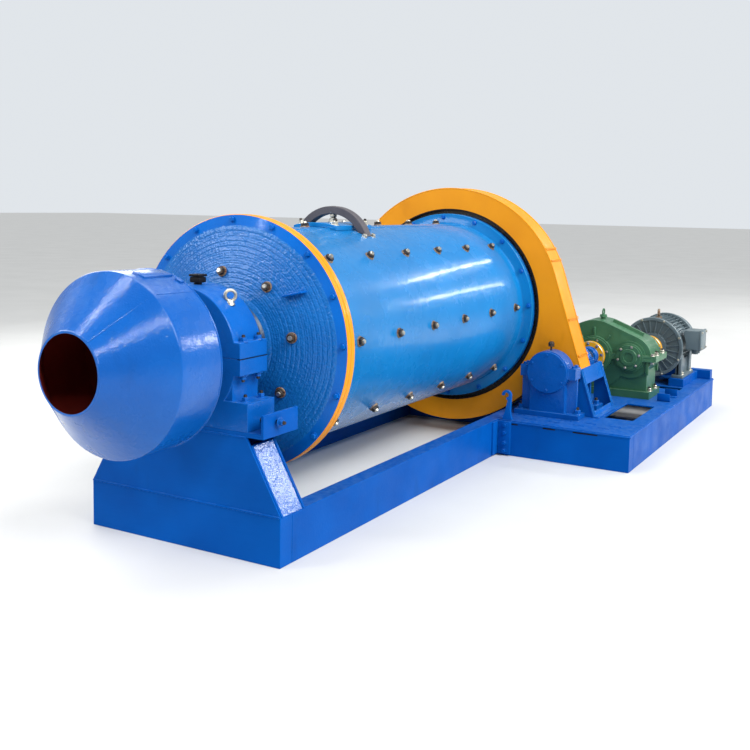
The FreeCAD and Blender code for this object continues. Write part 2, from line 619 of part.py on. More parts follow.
def main():
    os.makedirs("parts", exist_ok=True)
    base_frame()
    end_supports()
    save("drum_shell", drum_shell())
    save("feed_head", feed_head())
    save("discharge_head", mirrored(feed_head()))
    save("feed_trunnion", trunnion(FEED_TIP))
    save("discharge_trunnion", mirrored(trunnion(DISCHARGE_TIP)))
    save("drum_feeder", feeder())
    save("manhole_cover", manhole_cover())
    save("manhole_strongback", manhole_strongback())
    save("girth_gear", girth_gear())
    drive_line()
    save("guard_front_plate", guard_plate(GUARD_X, GUARD_OPENING_R))
    save("guard_rear_plate", guard_plate(GUARD_X + GUARD_L - GUARD_T, GUARD_REAR_OPENING_R))
    save("guard_rim", guard_rim())
    save("pinion_casing", pinion_casing())
    drive_base()
    save("front_pinion_bearing", pinion_bearing(PINION_BEARING_X[0], PINION_EAR_HALF, True))
    save("rear_pinion_bearing", pinion_bearing(PINION_BEARING_X[1], REAR_EAR_HALF, False))
    lower, upper = reducer_parts()
    save("reducer_case", lower)
    save("reducer_cover", upper)
    save("motor", motor())
    save("motor_terminal_box", terminal_box())
    save("motor_stool", motor_stool())
    save("lifting_hook", lifting_hook())


main()
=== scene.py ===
import math
import bmesh
import bpy
from mathutils import Matrix, Vector


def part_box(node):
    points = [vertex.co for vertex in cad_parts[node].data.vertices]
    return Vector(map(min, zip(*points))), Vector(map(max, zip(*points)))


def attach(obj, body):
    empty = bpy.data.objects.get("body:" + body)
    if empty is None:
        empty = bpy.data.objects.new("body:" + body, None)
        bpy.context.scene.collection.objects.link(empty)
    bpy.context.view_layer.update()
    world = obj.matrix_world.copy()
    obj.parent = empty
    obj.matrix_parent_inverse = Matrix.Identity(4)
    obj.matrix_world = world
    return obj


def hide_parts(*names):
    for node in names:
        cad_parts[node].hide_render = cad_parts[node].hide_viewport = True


# Ball mill: a drum in two trunnion bearings on a welded base, with an edge drive on a second base beside it.
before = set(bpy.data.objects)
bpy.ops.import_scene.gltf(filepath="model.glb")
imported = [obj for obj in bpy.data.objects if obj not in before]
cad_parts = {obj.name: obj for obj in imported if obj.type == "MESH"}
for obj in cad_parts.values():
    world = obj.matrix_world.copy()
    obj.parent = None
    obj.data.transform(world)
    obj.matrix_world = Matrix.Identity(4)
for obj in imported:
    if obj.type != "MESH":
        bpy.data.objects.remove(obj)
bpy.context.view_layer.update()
print("frame loaded")


# ---------- materials ----------

def hexColor(text):
    parts = [int(text[i:i + 2], 16) / 255 for i in (1, 3, 5)]
    return tuple(p / 12.92 if p <= 0.04045 else ((p + 0.055) / 1.055) ** 2.4 for p in parts) + (1,)


def perMetre(sizeMm):  # pattern scale for a feature of that many millimetres
    return 1000 / sizeMm


def addNode(tree, kind, settings=None, links=None):
    node = tree.nodes.new(kind)
    for key, value in (settings or {}).items():
        if isinstance(key, str) and hasattr(node, key):
            setattr(node, key, value)
        else:
            node.inputs[key].default_value = value
    for key, socket in (links or {}).items():
        tree.links.new(socket, node.inputs[key])
    return node


def newMaterial(name, settings):
    material = bpy.data.materials.new(name)
    material.use_nodes = True
    tree = material.node_tree
    tree.nodes.clear()
    shader = addNode(tree, "ShaderNodeBsdfPrincipled", settings)
    addNode(tree, "ShaderNodeOutputMaterial", None, {"Surface": shader.outputs["BSDF"]})
    place = addNode(tree, "ShaderNodeTexCoord").outputs["Object"]
    return material, tree, shader, place


def noise(tree, place, sizeMm, detail=3.0, stretch=(1, 1, 1)):
    mapping = addNode(tree, "ShaderNodeMapping", {"Scale": stretch}, {"Vector": place})
    return addNode(tree, "ShaderNodeTexNoise", {"Scale": perMetre(sizeMm), "Detail": detail},
                   {"Vector": mapping.outputs["Vector"]}).outputs["Fac"]


def ramp(tree, value, low, high, outLow=0.0, outHigh=1.0):
    return addNode(tree, "ShaderNodeMapRange", {
        "From Min": low, "From Max": high, "To Min": outLow, "To Max": outHigh}, {"Value": value}).outputs["Result"]


def mixColors(tree, factor, first, second):
    node = addNode(tree, "ShaderNodeMix", {"data_type": "RGBA"}, {0: factor})
    for index, source in ((6, first), (7, second)):
        if isinstance(source, str):
            node.inputs[index].default_value = hexColor(source)
        else:
            tree.links.new(source, node.inputs[index])
    return node.outputs[2]


def enamel(name, look):
    # sprayed or brushed enamel: patchy tone, dust that lies on what faces up, orange peel and brush marks, gloss coat
    material, tree, shader, place = newMaterial(name, {
        "Coat Weight": look["coat"], "Coat Roughness": look["coatRough"],
        "Specular IOR Level": look["shine"], "Specular Tint": hexColor(look["sheen"])})
    tone = mixColors(tree, ramp(tree, noise(tree, place, look["patchMm"]), 0.35, 0.68), look["color"], look["shade"])
    normalZ = addNode(tree, "ShaderNodeSeparateXYZ", None,
                      {"Vector": addNode(tree, "ShaderNodeNewGeometry").outputs["Normal"]}).outputs["Z"]
    upward = ramp(tree, normalZ, 0.55, 1.0)
    specks = ramp(tree, noise(tree, place, look["dustMm"], 6.0), 0.38, 1.0)
    dusty = addNode(tree, "ShaderNodeMath", {"operation": "MULTIPLY"}, {0: upward, 1: specks}).outputs[0]
    dustAmount = addNode(tree, "ShaderNodeMath", {"operation": "MULTIPLY", 1: look["dust"]}, {0: dusty}).outputs[0]
    tone = mixColors(tree, dustAmount, tone, look["dustColor"])
    grime = ramp(tree, noise(tree, place, look["grimeMm"], 8.0, look["grimeStretch"]), 0.62, 0.8, 0.0, look["grime"])
    tone = mixColors(tree, grime, tone, look["grimeColor"])
    tree.links.new(tone, shader.inputs["Base Color"])
    rough = ramp(tree, noise(tree, place, look["patchMm"] / 3, 5.0), 0.3, 0.7, look["rough"][0], look["rough"][1])
    tree.links.new(rough, shader.inputs["Roughness"])
    peel = noise(tree, place, look["peelMm"], 2.0)
    brush = noise(tree, place, look["brushMm"], 2.0, look["brushStretch"])
    first = addNode(tree, "ShaderNodeBump", {"Strength": look["peel"], "Distance": 0.001}, {"Height": peel})
    second = addNode(tree, "ShaderNodeBump", {"Strength": look["brush"], "Distance": look["brushHigh"]},
                     {"Height": brush, "Normal": first.outputs["Normal"]})
    tree.links.new(second.outputs["Normal"], shader.inputs["Normal"])
    tree.links.new(second.outputs["Normal"], shader.inputs["Coat Normal"])
    return material


plateLook = {"color": "#055fb6", "shade": "#0452a4", "patchMm": 420,
             "dustMm": 30, "dust": 0.28, "dustColor": "#7fa6cc", "grimeMm": 160,
             "grime": 0.35, "grimeColor": "#0a3468", "grimeStretch": (1, 1, 0.35),
             "rough": (0.24, 0.4), "coat": 0.22, "coatRough": 0.06, "peelMm": 11, "peel": 0.45,
             "brushMm": 55, "brush": 0.4, "brushHigh": 0.002, "brushStretch": (1, 1, 1),
             "shine": 0.15, "sheen": "#9cc8f4"}
otherLook = {**plateLook, "sheen": "#ffffff"}  # colours but blue reflect white
blueEnamel = enamel("gloss blue machine enamel on plate", plateLook)
drumEnamel = enamel("gloss blue enamel on the rolled shell", {
    **plateLook, "color": "#0f76b8", "shade": "#0b6dac", "shine": 0.25, "rough": (0.2, 0.32), "peel": 0.18,
    "grime": 0.2, "coatRough": 0.05})
feederEnamel = enamel("gloss blue enamel on the hammered feeder cone", {
    **plateLook, "color": "#0559ac", "shade": "#044d9c", "peelMm": 8, "peel": 0.8, "brushMm": 28, "brush": 0.7,
    "coat": 0.5, "coatRough": 0.06, "shine": 0.25, "rough": (0.22, 0.36)})
baseEnamel = enamel("hand brushed blue enamel on beams", {
    **plateLook, "color": "#0353a8", "shade": "#034898", "brushMm": 40, "brush": 0.5,
    "brushStretch": (0.25, 0.25, 1.6), "rough": (0.3, 0.48), "coat": 0.0, "coatRough": 0.1, "shine": 0.06})
castEnamel = enamel("blue enamel on rough cast iron", {
    **plateLook, "color": "#075aae", "shade": "#064e9c", "peelMm": 7, "peel": 1.0, "brushMm": 24, "brush": 0.8,
    "dust": 0.3, "rough": (0.26, 0.44), "coat": 0.25, "coatRough": 0.08})
headEnamel = enamel("gloss blue enamel over a rough cast cone", {
    **plateLook, "color": "#1468b2", "shade": "#0d5ba4", "peelMm": 6, "peel": 0.6, "brushMm": 15, "brush": 1.0,
    "brushHigh": 0.0045, "dust": 0.2, "rough": (0.2, 0.34), "coat": 0.5, "coatRough": 0.05, "shine": 0.35})
orangeEnamel = enamel("orange enamel on sheet steel", {
    **otherLook, "color": "#e3920f", "shade": "#d6860a", "dustColor": "#f3cf95", "grimeColor": "#8a4a08", "dust": 0.35,
    "grime": 0.25, "peelMm": 18, "peel": 0.16, "brush": 0.22, "rough": (0.34, 0.5), "coat": 0.12, "coatRough": 0.16})
greenEnamel = enamel("green enamel on a cast gear case", {
    **otherLook, "color": "#3f6f50", "shade": "#315d42", "dustColor": "#93ab98", "grimeColor": "#1b2f24", "dust": 0.5,
    "peelMm": 6, "peel": 0.5, "brush": 0.35, "brushMm": 22, "rough": (0.32, 0.5), "coat": 0.3, "coatRough": 0.2})
motorEnamel = enamel("grey green enamel on a cast motor", {
    **otherLook, "color": "#65747a", "shade": "#54636a", "dustColor": "#a9b3b0", "grimeColor": "#262c2c", "dust": 0.5,
    "peelMm": 5, "peel": 0.4, "brush": 0.25, "brushMm": 18, "rough": (0.34, 0.5), "coat": 0.25, "coatRough": 0.2})
yellowEnamel = enamel("yellow enamel on a coupling", {
    **otherLook, "color": "#e6ad1c", "shade": "#d99b10", "dustColor": "#f0d894", "grimeColor": "#5b4209", "dust": 0.2,
    "peelMm": 5, "peel": 0.25, "brush": 0.2, "brushMm": 15, "rough": (0.3, 0.45), "coat": 0.4, "coatRough": 0.12})
redPrimer = enamel("red oxide primer inside the feeder", {
    **otherLook, "color": "#8c2a1e", "shade": "#6d1d14", "dustColor": "#7a4a40", "grimeColor": "#2a0d0a", "dust": 0.3,
    "grime": 0.7, "rough": (0.55, 0.8), "coat": 0.0, "peelMm": 5, "peel": 0.5})
darkPaint = enamel("dark grey primer on cut plate", {
    **otherLook, "color": "#5a575c", "shade": "#4a484d", "dustColor": "#8d8a8c", "grimeColor": "#242224", "dust": 0.4,
    "rough": (0.45, 0.65), "coat": 0.0, "peelMm": 6, "peel": 0.5})
# black rubber and felt for the seals; the same dark material is also painted shade in the deck's stitch gaps
blackRubberAndGapShade = enamel("black rubber, felt seal and painted gap shade", {
    **otherLook, "color": "#17171a", "shade": "#0f0f12", "dustColor": "#3b3b3e", "grimeColor": "#0a0a0a", "dust": 0.3,
    "rough": (0.5, 0.75), "coat": 0.0, "peelMm": 4, "peel": 0.4})


def metal(name, look):
    # bare or coated metal: fine grain along one way, dull and bright patches, oxide that eats into the colour
    material, tree, shader, place = newMaterial(name, {"Metallic": look["metallic"]})
    grain = noise(tree, place, look["grainMm"], 3.0, look["stretch"])
    tone = mixColors(tree, ramp(tree, grain, 0.3, 0.7), look["color"], look["shade"])
    spots = ramp(tree, noise(tree, place, look["oxideMm"], 8.0), look["oxideFrom"], look["oxideFrom"] + 0.12)
    tone = mixColors(tree, spots, tone, look["oxideColor"])
    tree.links.new(tone, shader.inputs["Base Color"])
    tree.links.new(ramp(tree, grain, 0.2, 0.8, look["rough"][0], look["rough"][1]), shader.inputs["Roughness"])
    bump = addNode(tree, "ShaderNodeBump", {"Strength": look["bump"], "Distance": 0.0005}, {"Height": grain})
    tree.links.new(bump.outputs["Normal"], shader.inputs["Normal"])
    return material


turnedSteel = metal("turned steel shaft", {  # turning marks run round the shaft, drawn coarse so that they show
    "color": "#a9a8a4", "shade": "#8a8883", "metallic": 1.0, "grainMm": 30, "stretch": (12, 1, 1), "oxideMm": 50,
    "oxideFrom": 0.66, "oxideColor": "#5d4a3a", "rough": (0.25, 0.42), "bump": 0.3})
zincPlate = metal("zinc plated nut", {
    "color": "#c9c6ba", "shade": "#aaa79b", "metallic": 0.9, "grainMm": 8, "stretch": (1, 1, 1), "oxideMm": 18,
    "oxideFrom": 0.6, "oxideColor": "#7d7466", "rough": (0.28, 0.45), "bump": 0.3})
blackOxide = metal("black oxide bolt", {
    "color": "#4a4542", "shade": "#2e2a27", "metallic": 0.7, "grainMm": 8, "stretch": (1, 1, 1), "oxideMm": 22,
    "oxideFrom": 0.55, "oxideColor": "#5b4434", "rough": (0.35, 0.55), "bump": 0.4})
rustyWasher = metal("rusty washer", {
    "color": "#9b8a76", "shade": "#7d6956", "metallic": 0.35, "grainMm": 9, "stretch": (1, 1, 1), "oxideMm": 14,
    "oxideFrom": 0.5, "oxideColor": "#6e4022", "rough": (0.5, 0.75), "bump": 0.6})
greasyIron = metal("greased cast gear", {
    "color": "#2d2a26", "shade": "#1a1815", "metallic": 0.6, "grainMm": 40, "stretch": (1, 1, 1), "oxideMm": 60,
    "oxideFrom": 0.6, "oxideColor": "#4b3c22", "rough": (0.18, 0.4), "bump": 0.6})
print("materials made")


# ---------- ways to make a piece ----------

def newPiece(name, bm, materials, body, replaced=(), smoothDegrees=32):
    mesh = bpy.data.meshes.new(name)
    bm.to_mesh(mesh)
    bm.free()
    for material in materials:
        mesh.materials.append(material)
    mesh.shade_smooth()
    mesh.set_sharp_from_angle(angle=math.radians(smoothDegrees))
    piece = bpy.data.objects.new(name, mesh)
    bpy.context.scene.collection.objects.link(piece)
    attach(piece, body)
    if replaced:
        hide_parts(*replaced)
    return piece


def bevelEdges(piece, width, segments=2, degrees=30):
    bevel = piece.modifiers.new("softEdges", "BEVEL")
    bevel.width = width
    bevel.segments = segments
    bevel.limit_method = "ANGLE"
    bevel.angle_limit = math.radians(degrees)
    bevel.use_clamp_overlap = True
    bevel.harden_normals = False
    return piece


def softCopy(node, material, body, width, segments=2):
    # a CAD piece with its facets merged and its edges softened as the real casting or plate has them
    bm = bmesh.new()
    bm.from_mesh(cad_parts[node].data)
    bmesh.ops.remove_doubles(bm, verts=bm.verts, dist=0.00002)
    bmesh.ops.dissolve_limit(bm, angle_limit=math.radians(0.5), verts=bm.verts, edges=bm.edges)
    for face in bm.faces:
        face.material_index = 0
    piece = newPiece(node + "_finished", bm, [material], body, (node,))
    return bevelEdges(piece, width, segments)


def freshIn(items, old):  # freed slots are used again, so new items aren't always the last ones
    return [item for item in items if item not in old]


def turned(bm, outline, centre, steps=96, material=0):
    # a closed outline of (x, radius) turned about a line along X through centre (y, z)
    oldVerts, oldFaces = set(bm.verts), set(bm.faces)
    verts = [bm.verts.new((x, centre[0], centre[1] + radius)) for x, radius in outline]
    edges = [bm.edges.new((a, b)) for a, b in zip(verts, verts[1:] + verts[:1])]
    bmesh.ops.spin(bm, geom=verts + edges, cent=(0, centre[0], centre[1]), axis=(1, 0, 0), dvec=(0, 0, 0),
                   angle=2 * math.pi, steps=steps, use_merge=True)
    bmesh.ops.remove_doubles(bm, verts=freshIn(bm.verts, oldVerts), dist=0.00001)
    new = freshIn(bm.faces, oldFaces)
    for face in new:
        face.material_index = material
    bmesh.ops.recalc_face_normals(bm, faces=new)
    return new


def aim(point, direction, roll=0.0):
    # a frame that stands at point with its +Z along direction
    turn = Vector(direction).to_track_quat("Z", "Y").to_matrix().to_4x4()
    return Matrix.Translation(point) @ turn @ Matrix.Rotation(roll, 4, "Z")


def addShape(bm, maker, matrix, material=0, **settings):
    verts = maker(bm, matrix=matrix, **settings)["verts"]
    for face in {face for vert in verts for face in vert.link_faces}:
        face.material_index = material
    return verts


def addCube(bm, matrix, size, material=0, bevel=0.0, segments=2):
    verts = addShape(bm, bmesh.ops.create_cube, matrix @ Matrix.Diagonal((*size, 1)), material, size=1)
    if bevel:
        edges = list({edge for vert in verts for edge in vert.link_edges})
        bmesh.ops.bevel(bm, geom=edges, offset=bevel, segments=segments, profile=0.5, affect="EDGES", material=-1)
    return verts


def addBlock(bm, low, high, material=0, bevel=0.0):
    middle = [(a + b) / 2 for a, b in zip(low, high)]
    return addCube(bm, Matrix.Translation(middle), [b - a for a, b in zip(low, high)], material, bevel)


def frameOf(place, x, y, z):
    return Matrix.Translation(place) @ Matrix((x, y, z)).transposed().to_4x4()


def addPlank(bm, middle, out, size, bevel=0.0, segments=2, turn=0.0):
    # a block that keeps its X and has its Z along out
    matrix = frameOf(middle, Vector((1, 0, 0)), Vector((0, out.z, -out.y)), out)
    return addCube(bm, matrix @ Matrix.Rotation(turn, 4, "Z"), size, 0, bevel, segments)


def addRod(bm, start, end, radius, material=0, sides=16, endRadius=None):
    start, end = Vector(start), Vector(end)
    matrix = aim((start + end) / 2, end - start)
    return addShape(bm, bmesh.ops.create_cone, matrix, material, cap_ends=True, segments=sides, radius1=radius,
                    radius2=radius if endRadius is None else endRadius, depth=(end - start).length)


def addBead(bm, start, end, radius, material=0, pitch=0.009):
    # a weld bead with the ripple that each stitch leaves
    start, end = Vector(start), Vector(end)
    length = (end - start).length
    verts = addRod(bm, start, end, radius, material, 6)
    along = (end - start).normalized()
    edges = [e for e in {e for v in verts for e in v.link_edges}
             if abs((e.verts[0].co - e.verts[1].co).dot(along)) > length * 0.9]
    cuts = min(160, max(4, int(length / pitch)))
    cut = bmesh.ops.subdivide_edges(bm, edges=edges, cuts=cuts, use_grid_fill=False)
    for vert in {g for g in cut["geom_inner"] if isinstance(g, bmesh.types.BMVert)}:
        reach = (vert.co - start).dot(along)
        line = start + along * reach
        swell = 1 + 0.16 * math.sin(2 * math.pi * reach * cuts / length / 3.0)
        vert.co = line + (vert.co - line) * swell


def addRing(bm, matrix, radius, thickness, material=0, steps=24, sides=8, turn=2 * math.pi):
    # a round bar bent to a ring in the plane of the matrix's X and Z
    oldVerts, oldFaces = set(bm.verts), set(bm.faces)
    circle = bmesh.ops.create_circle(bm, cap_ends=False, segments=sides, radius=thickness,
                                     matrix=Matrix.Translation((radius, 0, 0)))["verts"]
    edges = list({e for v in circle for e in v.link_edges})
    full = abs(turn - 2 * math.pi) < 0.001
    bmesh.ops.spin(bm, geom=circle + edges, cent=(0, 0, 0), axis=(0, 1, 0), dvec=(0, 0, 0), angle=turn,
                   steps=steps, use_merge=full)
    bmesh.ops.transform(bm, matrix=matrix, verts=freshIn(bm.verts, oldVerts))
    faces = freshIn(bm.faces, oldFaces)
    for face in faces:
        face.material_index = material
    bmesh.ops.recalc_face_normals(bm, faces=faces)


def addHoop(bm, x, radius, thickness, centre, steps, sides=8):  # a ring round the line along X through centre
    addRing(bm, aim((x, *centre), (0, 0, 1), math.pi / 2), radius, thickness, 0, steps, sides)


def boltMesh(name, size):
    # washer (material 1), hexagon with a chamfered top (material 0), stud end (material 2)
    bm = bmesh.new()
    flats, stud = size["acrossFlats"] / math.sqrt(3), size["acrossFlats"] * 0.32
    washer = size["washerThick"]
    chamfer, top = washer + size["headHeight"] * 0.84, washer + size["headHeight"]
    for material, sides, low, high, radius, taper in (
            (1, 20, 0, washer, size["washerRadius"], 0.94), (0, 6, washer, chamfer, flats, 1),
            (0, 6, chamfer, top, flats, 0.84), (2, 10, top, top + size["stud"], stud, 0.82)):
        if high > low:
            addShape(bm, bmesh.ops.create_cone, Matrix.Translation((0, 0, (low + high) / 2)), material, cap_ends=True,
                     segments=sides, radius1=radius, radius2=radius * taper, depth=high - low)
    mesh = bpy.data.meshes.new(name)
    bm.to_mesh(mesh)
    bm.free()
    return mesh


def placeMesh(bm, mesh, matrix):
    old = set(bm.verts)
    bm.from_mesh(mesh)
    bmesh.ops.transform(bm, matrix=matrix, verts=freshIn(bm.verts, old))


def onCircle(x, radius, degrees, centre):
    # degrees from -Y upward
    angle = math.radians(degrees)
    return Vector((x, centre[0] - radius * math.cos(angle), centre[1] + radius * math.sin(angle)))


def outFrom(spot, centre):
    return Vector((0, spot[1] - centre[0], spot[2] - centre[1])).normalized()


def boltCircle(bm, mesh, x, way, radius, count, first, centre, roll=1.0):
    # bolts in a ring, with their heads towards way along X; first is the angle of the first one
    for i in range(count):
        placeMesh(bm, mesh, aim(onCircle(x, radius, 360 / count * i + first, centre), (way, 0, 0), i * roll))


boltSizes = {
    "small": {"acrossFlats": 0.024, "headHeight": 0.013, "washerRadius": 0.019, "washerThick": 0.003, "stud": 0},
    "mid": {"acrossFlats": 0.03, "headHeight": 0.018, "washerRadius": 0.025, "washerThick": 0.004, "stud": 0.012},
    "big": {"acrossFlats": 0.041, "headHeight": 0.024, "washerRadius": 0.033, "washerThick": 0.005, "stud": 0.018},
    "liner": {"acrossFlats": 0.041, "headHeight": 0.018, "washerRadius": 0.029, "washerThick": 0.007, "stud": 0.009},
    "tiny": {"acrossFlats": 0.014, "headHeight": 0.008, "washerRadius": 0.011, "washerThick": 0.002, "stud": 0},
}
smallBolt, midBolt, bigBolt, linerBolt, tinyScrew = [boltMesh(name + "Bolt", size) for name, size in boltSizes.items()]


# ---------- places read from the frame ----------

shellLow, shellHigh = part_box("drum_shell")
axisZ = (shellLow.z + shellHigh.z) / 2
flangeR = (shellHigh.y - shellLow.y) / 2
axis = (0.0, axisZ)
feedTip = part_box("feed_head")[0].x
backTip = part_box("discharge_head")[1].x
flangeT = 0.035
feedFace = shellLow.x - flangeT
gearFace = shellHigh.x + flangeT
middleX = (feedFace + gearFace) / 2
pinionLow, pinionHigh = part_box("pinion_shaft")
pinion = ((pinionLow.y + pinionHigh.y) / 2, (pinionLow.z + pinionHigh.z) / 2)
motorLow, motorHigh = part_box("motor")
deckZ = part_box("drive_deck")[1].z
motorAxis = ((motorLow.y + motorHigh.y) / 2, pinion[1])


# ---------- drum ----------

drum = {"shellR": 0.605, "shellT": 0.014, "fillet": 0.012, "rimChamfer": 0.003, "boltRows": 8, "rowPhase": 3.0,
        "firstBolt": 0.245, "boltPitch": 0.436, "boltsPerRow": 6, "flangeBolts": 16, "flangeBoltR": 0.655,
        "flangePhase": 3.2, "steps": 160, "seamDegrees": 80.0}


def makeDrumShell():
    x0, x1 = shellLow.x, shellHigh.x
    r, f, c, t = drum["shellR"], drum["fillet"], drum["rimChamfer"], flangeT
    inner = r - drum["shellT"]
    outline = [(x0, inner), (x0, flangeR - c), (x0 + c, flangeR), (x0 + t - c, flangeR), (x0 + t, flangeR - c),
               (x0 + t, r + f), (x0 + t + f * 0.3, r + f * 0.3), (x0 + t + f, r),
               (x1 - t - f, r), (x1 - t - f * 0.3, r + f * 0.3), (x1 - t, r + f),
               (x1 - t, flangeR - c), (x1 - t + c, flangeR), (x1 - c, flangeR), (x1, flangeR - c), (x1, inner)]
    bm = bmesh.new()
    faces = turned(bm, outline, axis, drum["steps"])
    for face in faces:
        spot = face.calc_center_median()
        if math.hypot(spot.y, spot.z - axisZ) > flangeR - 0.004 and spot.x < middleX:
            face.material_index = 1
    seam = onCircle(0, r, drum["seamDegrees"], axis)
    addBead(bm, (x0 + t, seam.y, seam.z), (x1 - t, seam.y, seam.z), 0.004)
    newPiece("drumShell", bm, [drumEnamel, orangeEnamel], "drum", ("drum_shell",))


head = {"flangeInner": 0.622, "stepDeep": 0.007, "coneTopR": 0.6, "hubR": 0.268, "ridges": 26, "ridgeHigh": 0.0011,
        "bore": 0.15, "linerR": 0.385, "linerBolts": 8, "linerPhase": 9.5,
        "ledge": {"y": (-0.445, -0.325), "z": 1.262, "t": 0.012, "tilt": -14.0}}


def headOutline(face, tip, back):
    # from the flange's rim over the step, down the turned cone to the hub; sign is the way the cone bulges
    sign = 1 if tip > face else -1
    c, step = drum["rimChamfer"], head["stepDeep"] * sign
    points = [(back, flangeR - c), (back + c * sign, flangeR), (face - c * sign, flangeR), (face, flangeR - c),
              (face, head["flangeInner"] + 0.006), (face + step, head["flangeInner"]),
              (face + step, head["coneTopR"])]
    count = head["ridges"] * 4
    for i in range(1, count):
        t = i / count
        radius = head["coneTopR"] + (head["hubR"] - head["coneTopR"]) * t
        x = face + step + (tip - face - 2 * step) * t
        high = head["ridgeHigh"] * (0.55 + 0.45 * math.sin(i * 0.73))  # the tool left some turns deeper than others
        points.append((x + sign * high * (math.sin(i * math.pi / 2) - 1), radius))
    points += [(tip - step, head["hubR"]), (tip, head["hubR"] - 0.006), (tip, head["bore"] + 0.002),
               (back, head["bore"] + 0.002)]
    return points


def makeHeads():
    for name, node, face, tip, back in (("feedHead", "feed_head", feedFace, feedTip, shellLow.x),
                                        ("dischargeHead", "discharge_head", gearFace, backTip, shellHigh.x)):
        bm = bmesh.new()
        for part in turned(bm, headOutline(face, tip, back), axis, drum["steps"]):
            spot = part.calc_center_median()
            radius = math.hypot(spot.y, spot.z - axisZ)
            part.material_index = 0
            if radius > flangeR - 0.004 and face < middleX:
                part.material_index = 1
            elif radius > head["flangeInner"]:
                part.material_index = 2
        newPiece(name, bm, [headEnamel, orangeEnamel, blueEnamel], "drum", (node,), 50)


def makeDrumBolts():
    bm = bmesh.new()
    for row in range(drum["boltRows"]):
        degrees = drum["rowPhase"] + 360 / drum["boltRows"] * row
        for i in range(drum["boltsPerRow"]):
            x = feedFace + drum["firstBolt"] + drum["boltPitch"] * i
            spot = onCircle(x, drum["shellR"] - 0.001, degrees, axis)
            placeMesh(bm, linerBolt, aim(spot, outFrom(spot, axis), 0.4 * row + 0.7 * i))
    newPiece("linerBolts", bm, [blackOxide, rustyWasher, zincPlate], "drum")
    bm = bmesh.new()
    for x, way, mesh in ((feedFace, -1, smallBolt), (shellLow.x + flangeT, 1, midBolt),
                         (shellHigh.x - flangeT, -1, smallBolt)):
        boltCircle(bm, mesh, x, way, drum["flangeBoltR"], drum["flangeBolts"], drum["flangePhase"], axis, 0.5)
    newPiece("flangeBolts", bm, [blueEnamel, blueEnamel, blackOxide], "drum")


def makeLedge():  # the tilted shelf that stands out of the feed head's cone
    ledge = head["ledge"]
    bm = bmesh.new()
    addBlock(bm, (feedTip + 0.006, ledge["y"][0], ledge["z"] - ledge["t"]),
             (feedFace + head["stepDeep"] * 0.5, ledge["y"][1], ledge["z"]), 0, 0.003)
    bmesh.ops.rotate(bm, verts=bm.verts, cent=(feedFace, sum(ledge["y"]) / 2, ledge["z"]),
                     matrix=Matrix.Rotation(math.radians(ledge["tilt"]), 3, "X"))
    newPiece("headLedge", bm, [blueEnamel], "drum")


def makeHeadBolts():
    bm = bmesh.new()
    slope = (feedFace - feedTip) / (head["coneTopR"] - head["hubR"])
    reach = (head["coneTopR"] - head["linerR"]) * slope + 0.002
    for i in range(head["linerBolts"]):
        degrees = head["linerPhase"] + 360 / head["linerBolts"] * i
        for face, way in ((feedFace, -1), (gearFace, 1)):
            spot = onCircle(face + way * reach, head["linerR"], degrees, axis)
            placeMesh(bm, linerBolt, aim(spot, Vector((way, 0, 0)) + outFrom(spot, axis) * slope, i))
    newPiece("headLinerBolts", bm, [blackOxide, rustyWasher, zincPlate], "drum")


manhole = {"boltX": 0.17, "boltY": 0.118, "coverTop": 0.026, "footBoltX": 0.05, "studR": 0.014, "nutDrop": 0.036}


def makeManhole():
    softCopy("manhole_cover", drumEnamel, "drum", 0.003)
    softCopy("manhole_strongback", darkPaint, "drum", 0.004)
    archLow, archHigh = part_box("manhole_strongback")
    x = (archLow.x + archHigh.x) / 2
    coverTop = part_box("manhole_cover")[1].z
    bm = bmesh.new()
    addRod(bm, (x, 0, coverTop - 0.004), (x, 0, archHigh.z + 0.001), manhole["studR"], 2)
    placeMesh(bm, bigBolt, aim((x, 0, archHigh.z - manhole["nutDrop"]), (0, 0, -1)))
    placeMesh(bm, bigBolt, aim((x, 0, coverTop - 0.002), (0, 0, 1)))
    for side in (-1, 1):
        y, footY = side * manhole["boltY"], side * (archHigh.y - 0.004)
        rise = math.sqrt((drum["shellR"] + manhole["coverTop"]) ** 2 - y ** 2)
        footRise = math.sqrt(drum["shellR"] ** 2 - footY ** 2)
        for along in (-1, 1):
            spot = (x + along * manhole["boltX"], y, axisZ + rise - 0.001)
            placeMesh(bm, midBolt, aim(spot, (0, y, rise), along))
            foot = (x + along * manhole["footBoltX"], footY, axisZ + footRise - 0.001)
            placeMesh(bm, smallBolt, aim(foot, (0, footY, footRise)))
    newPiece("manholeBolts", bm, [zincPlate, zincPlate, blackOxide], "drum")


feeder = {"wall": 0.008, "mouthR": 0.183, "bendX": -0.540, "bend": 0.02, "rearLip": 0.005, "rearBore": 0.152,
          "rearBead": 0.005, "mouthBead": 0.0035, "seamBead": 0.0032, "seams": (52.0, 232.0),
          "bolts": 12, "boltR": 0.215,
          "tab": {"degrees": 63.0, "turn": 0, "size": (0.03, 0.036, 0.016)},
          "patch": {"degrees": 74.0, "turn": math.pi / 2, "size": (0.075, 0.19, 0.016)}}


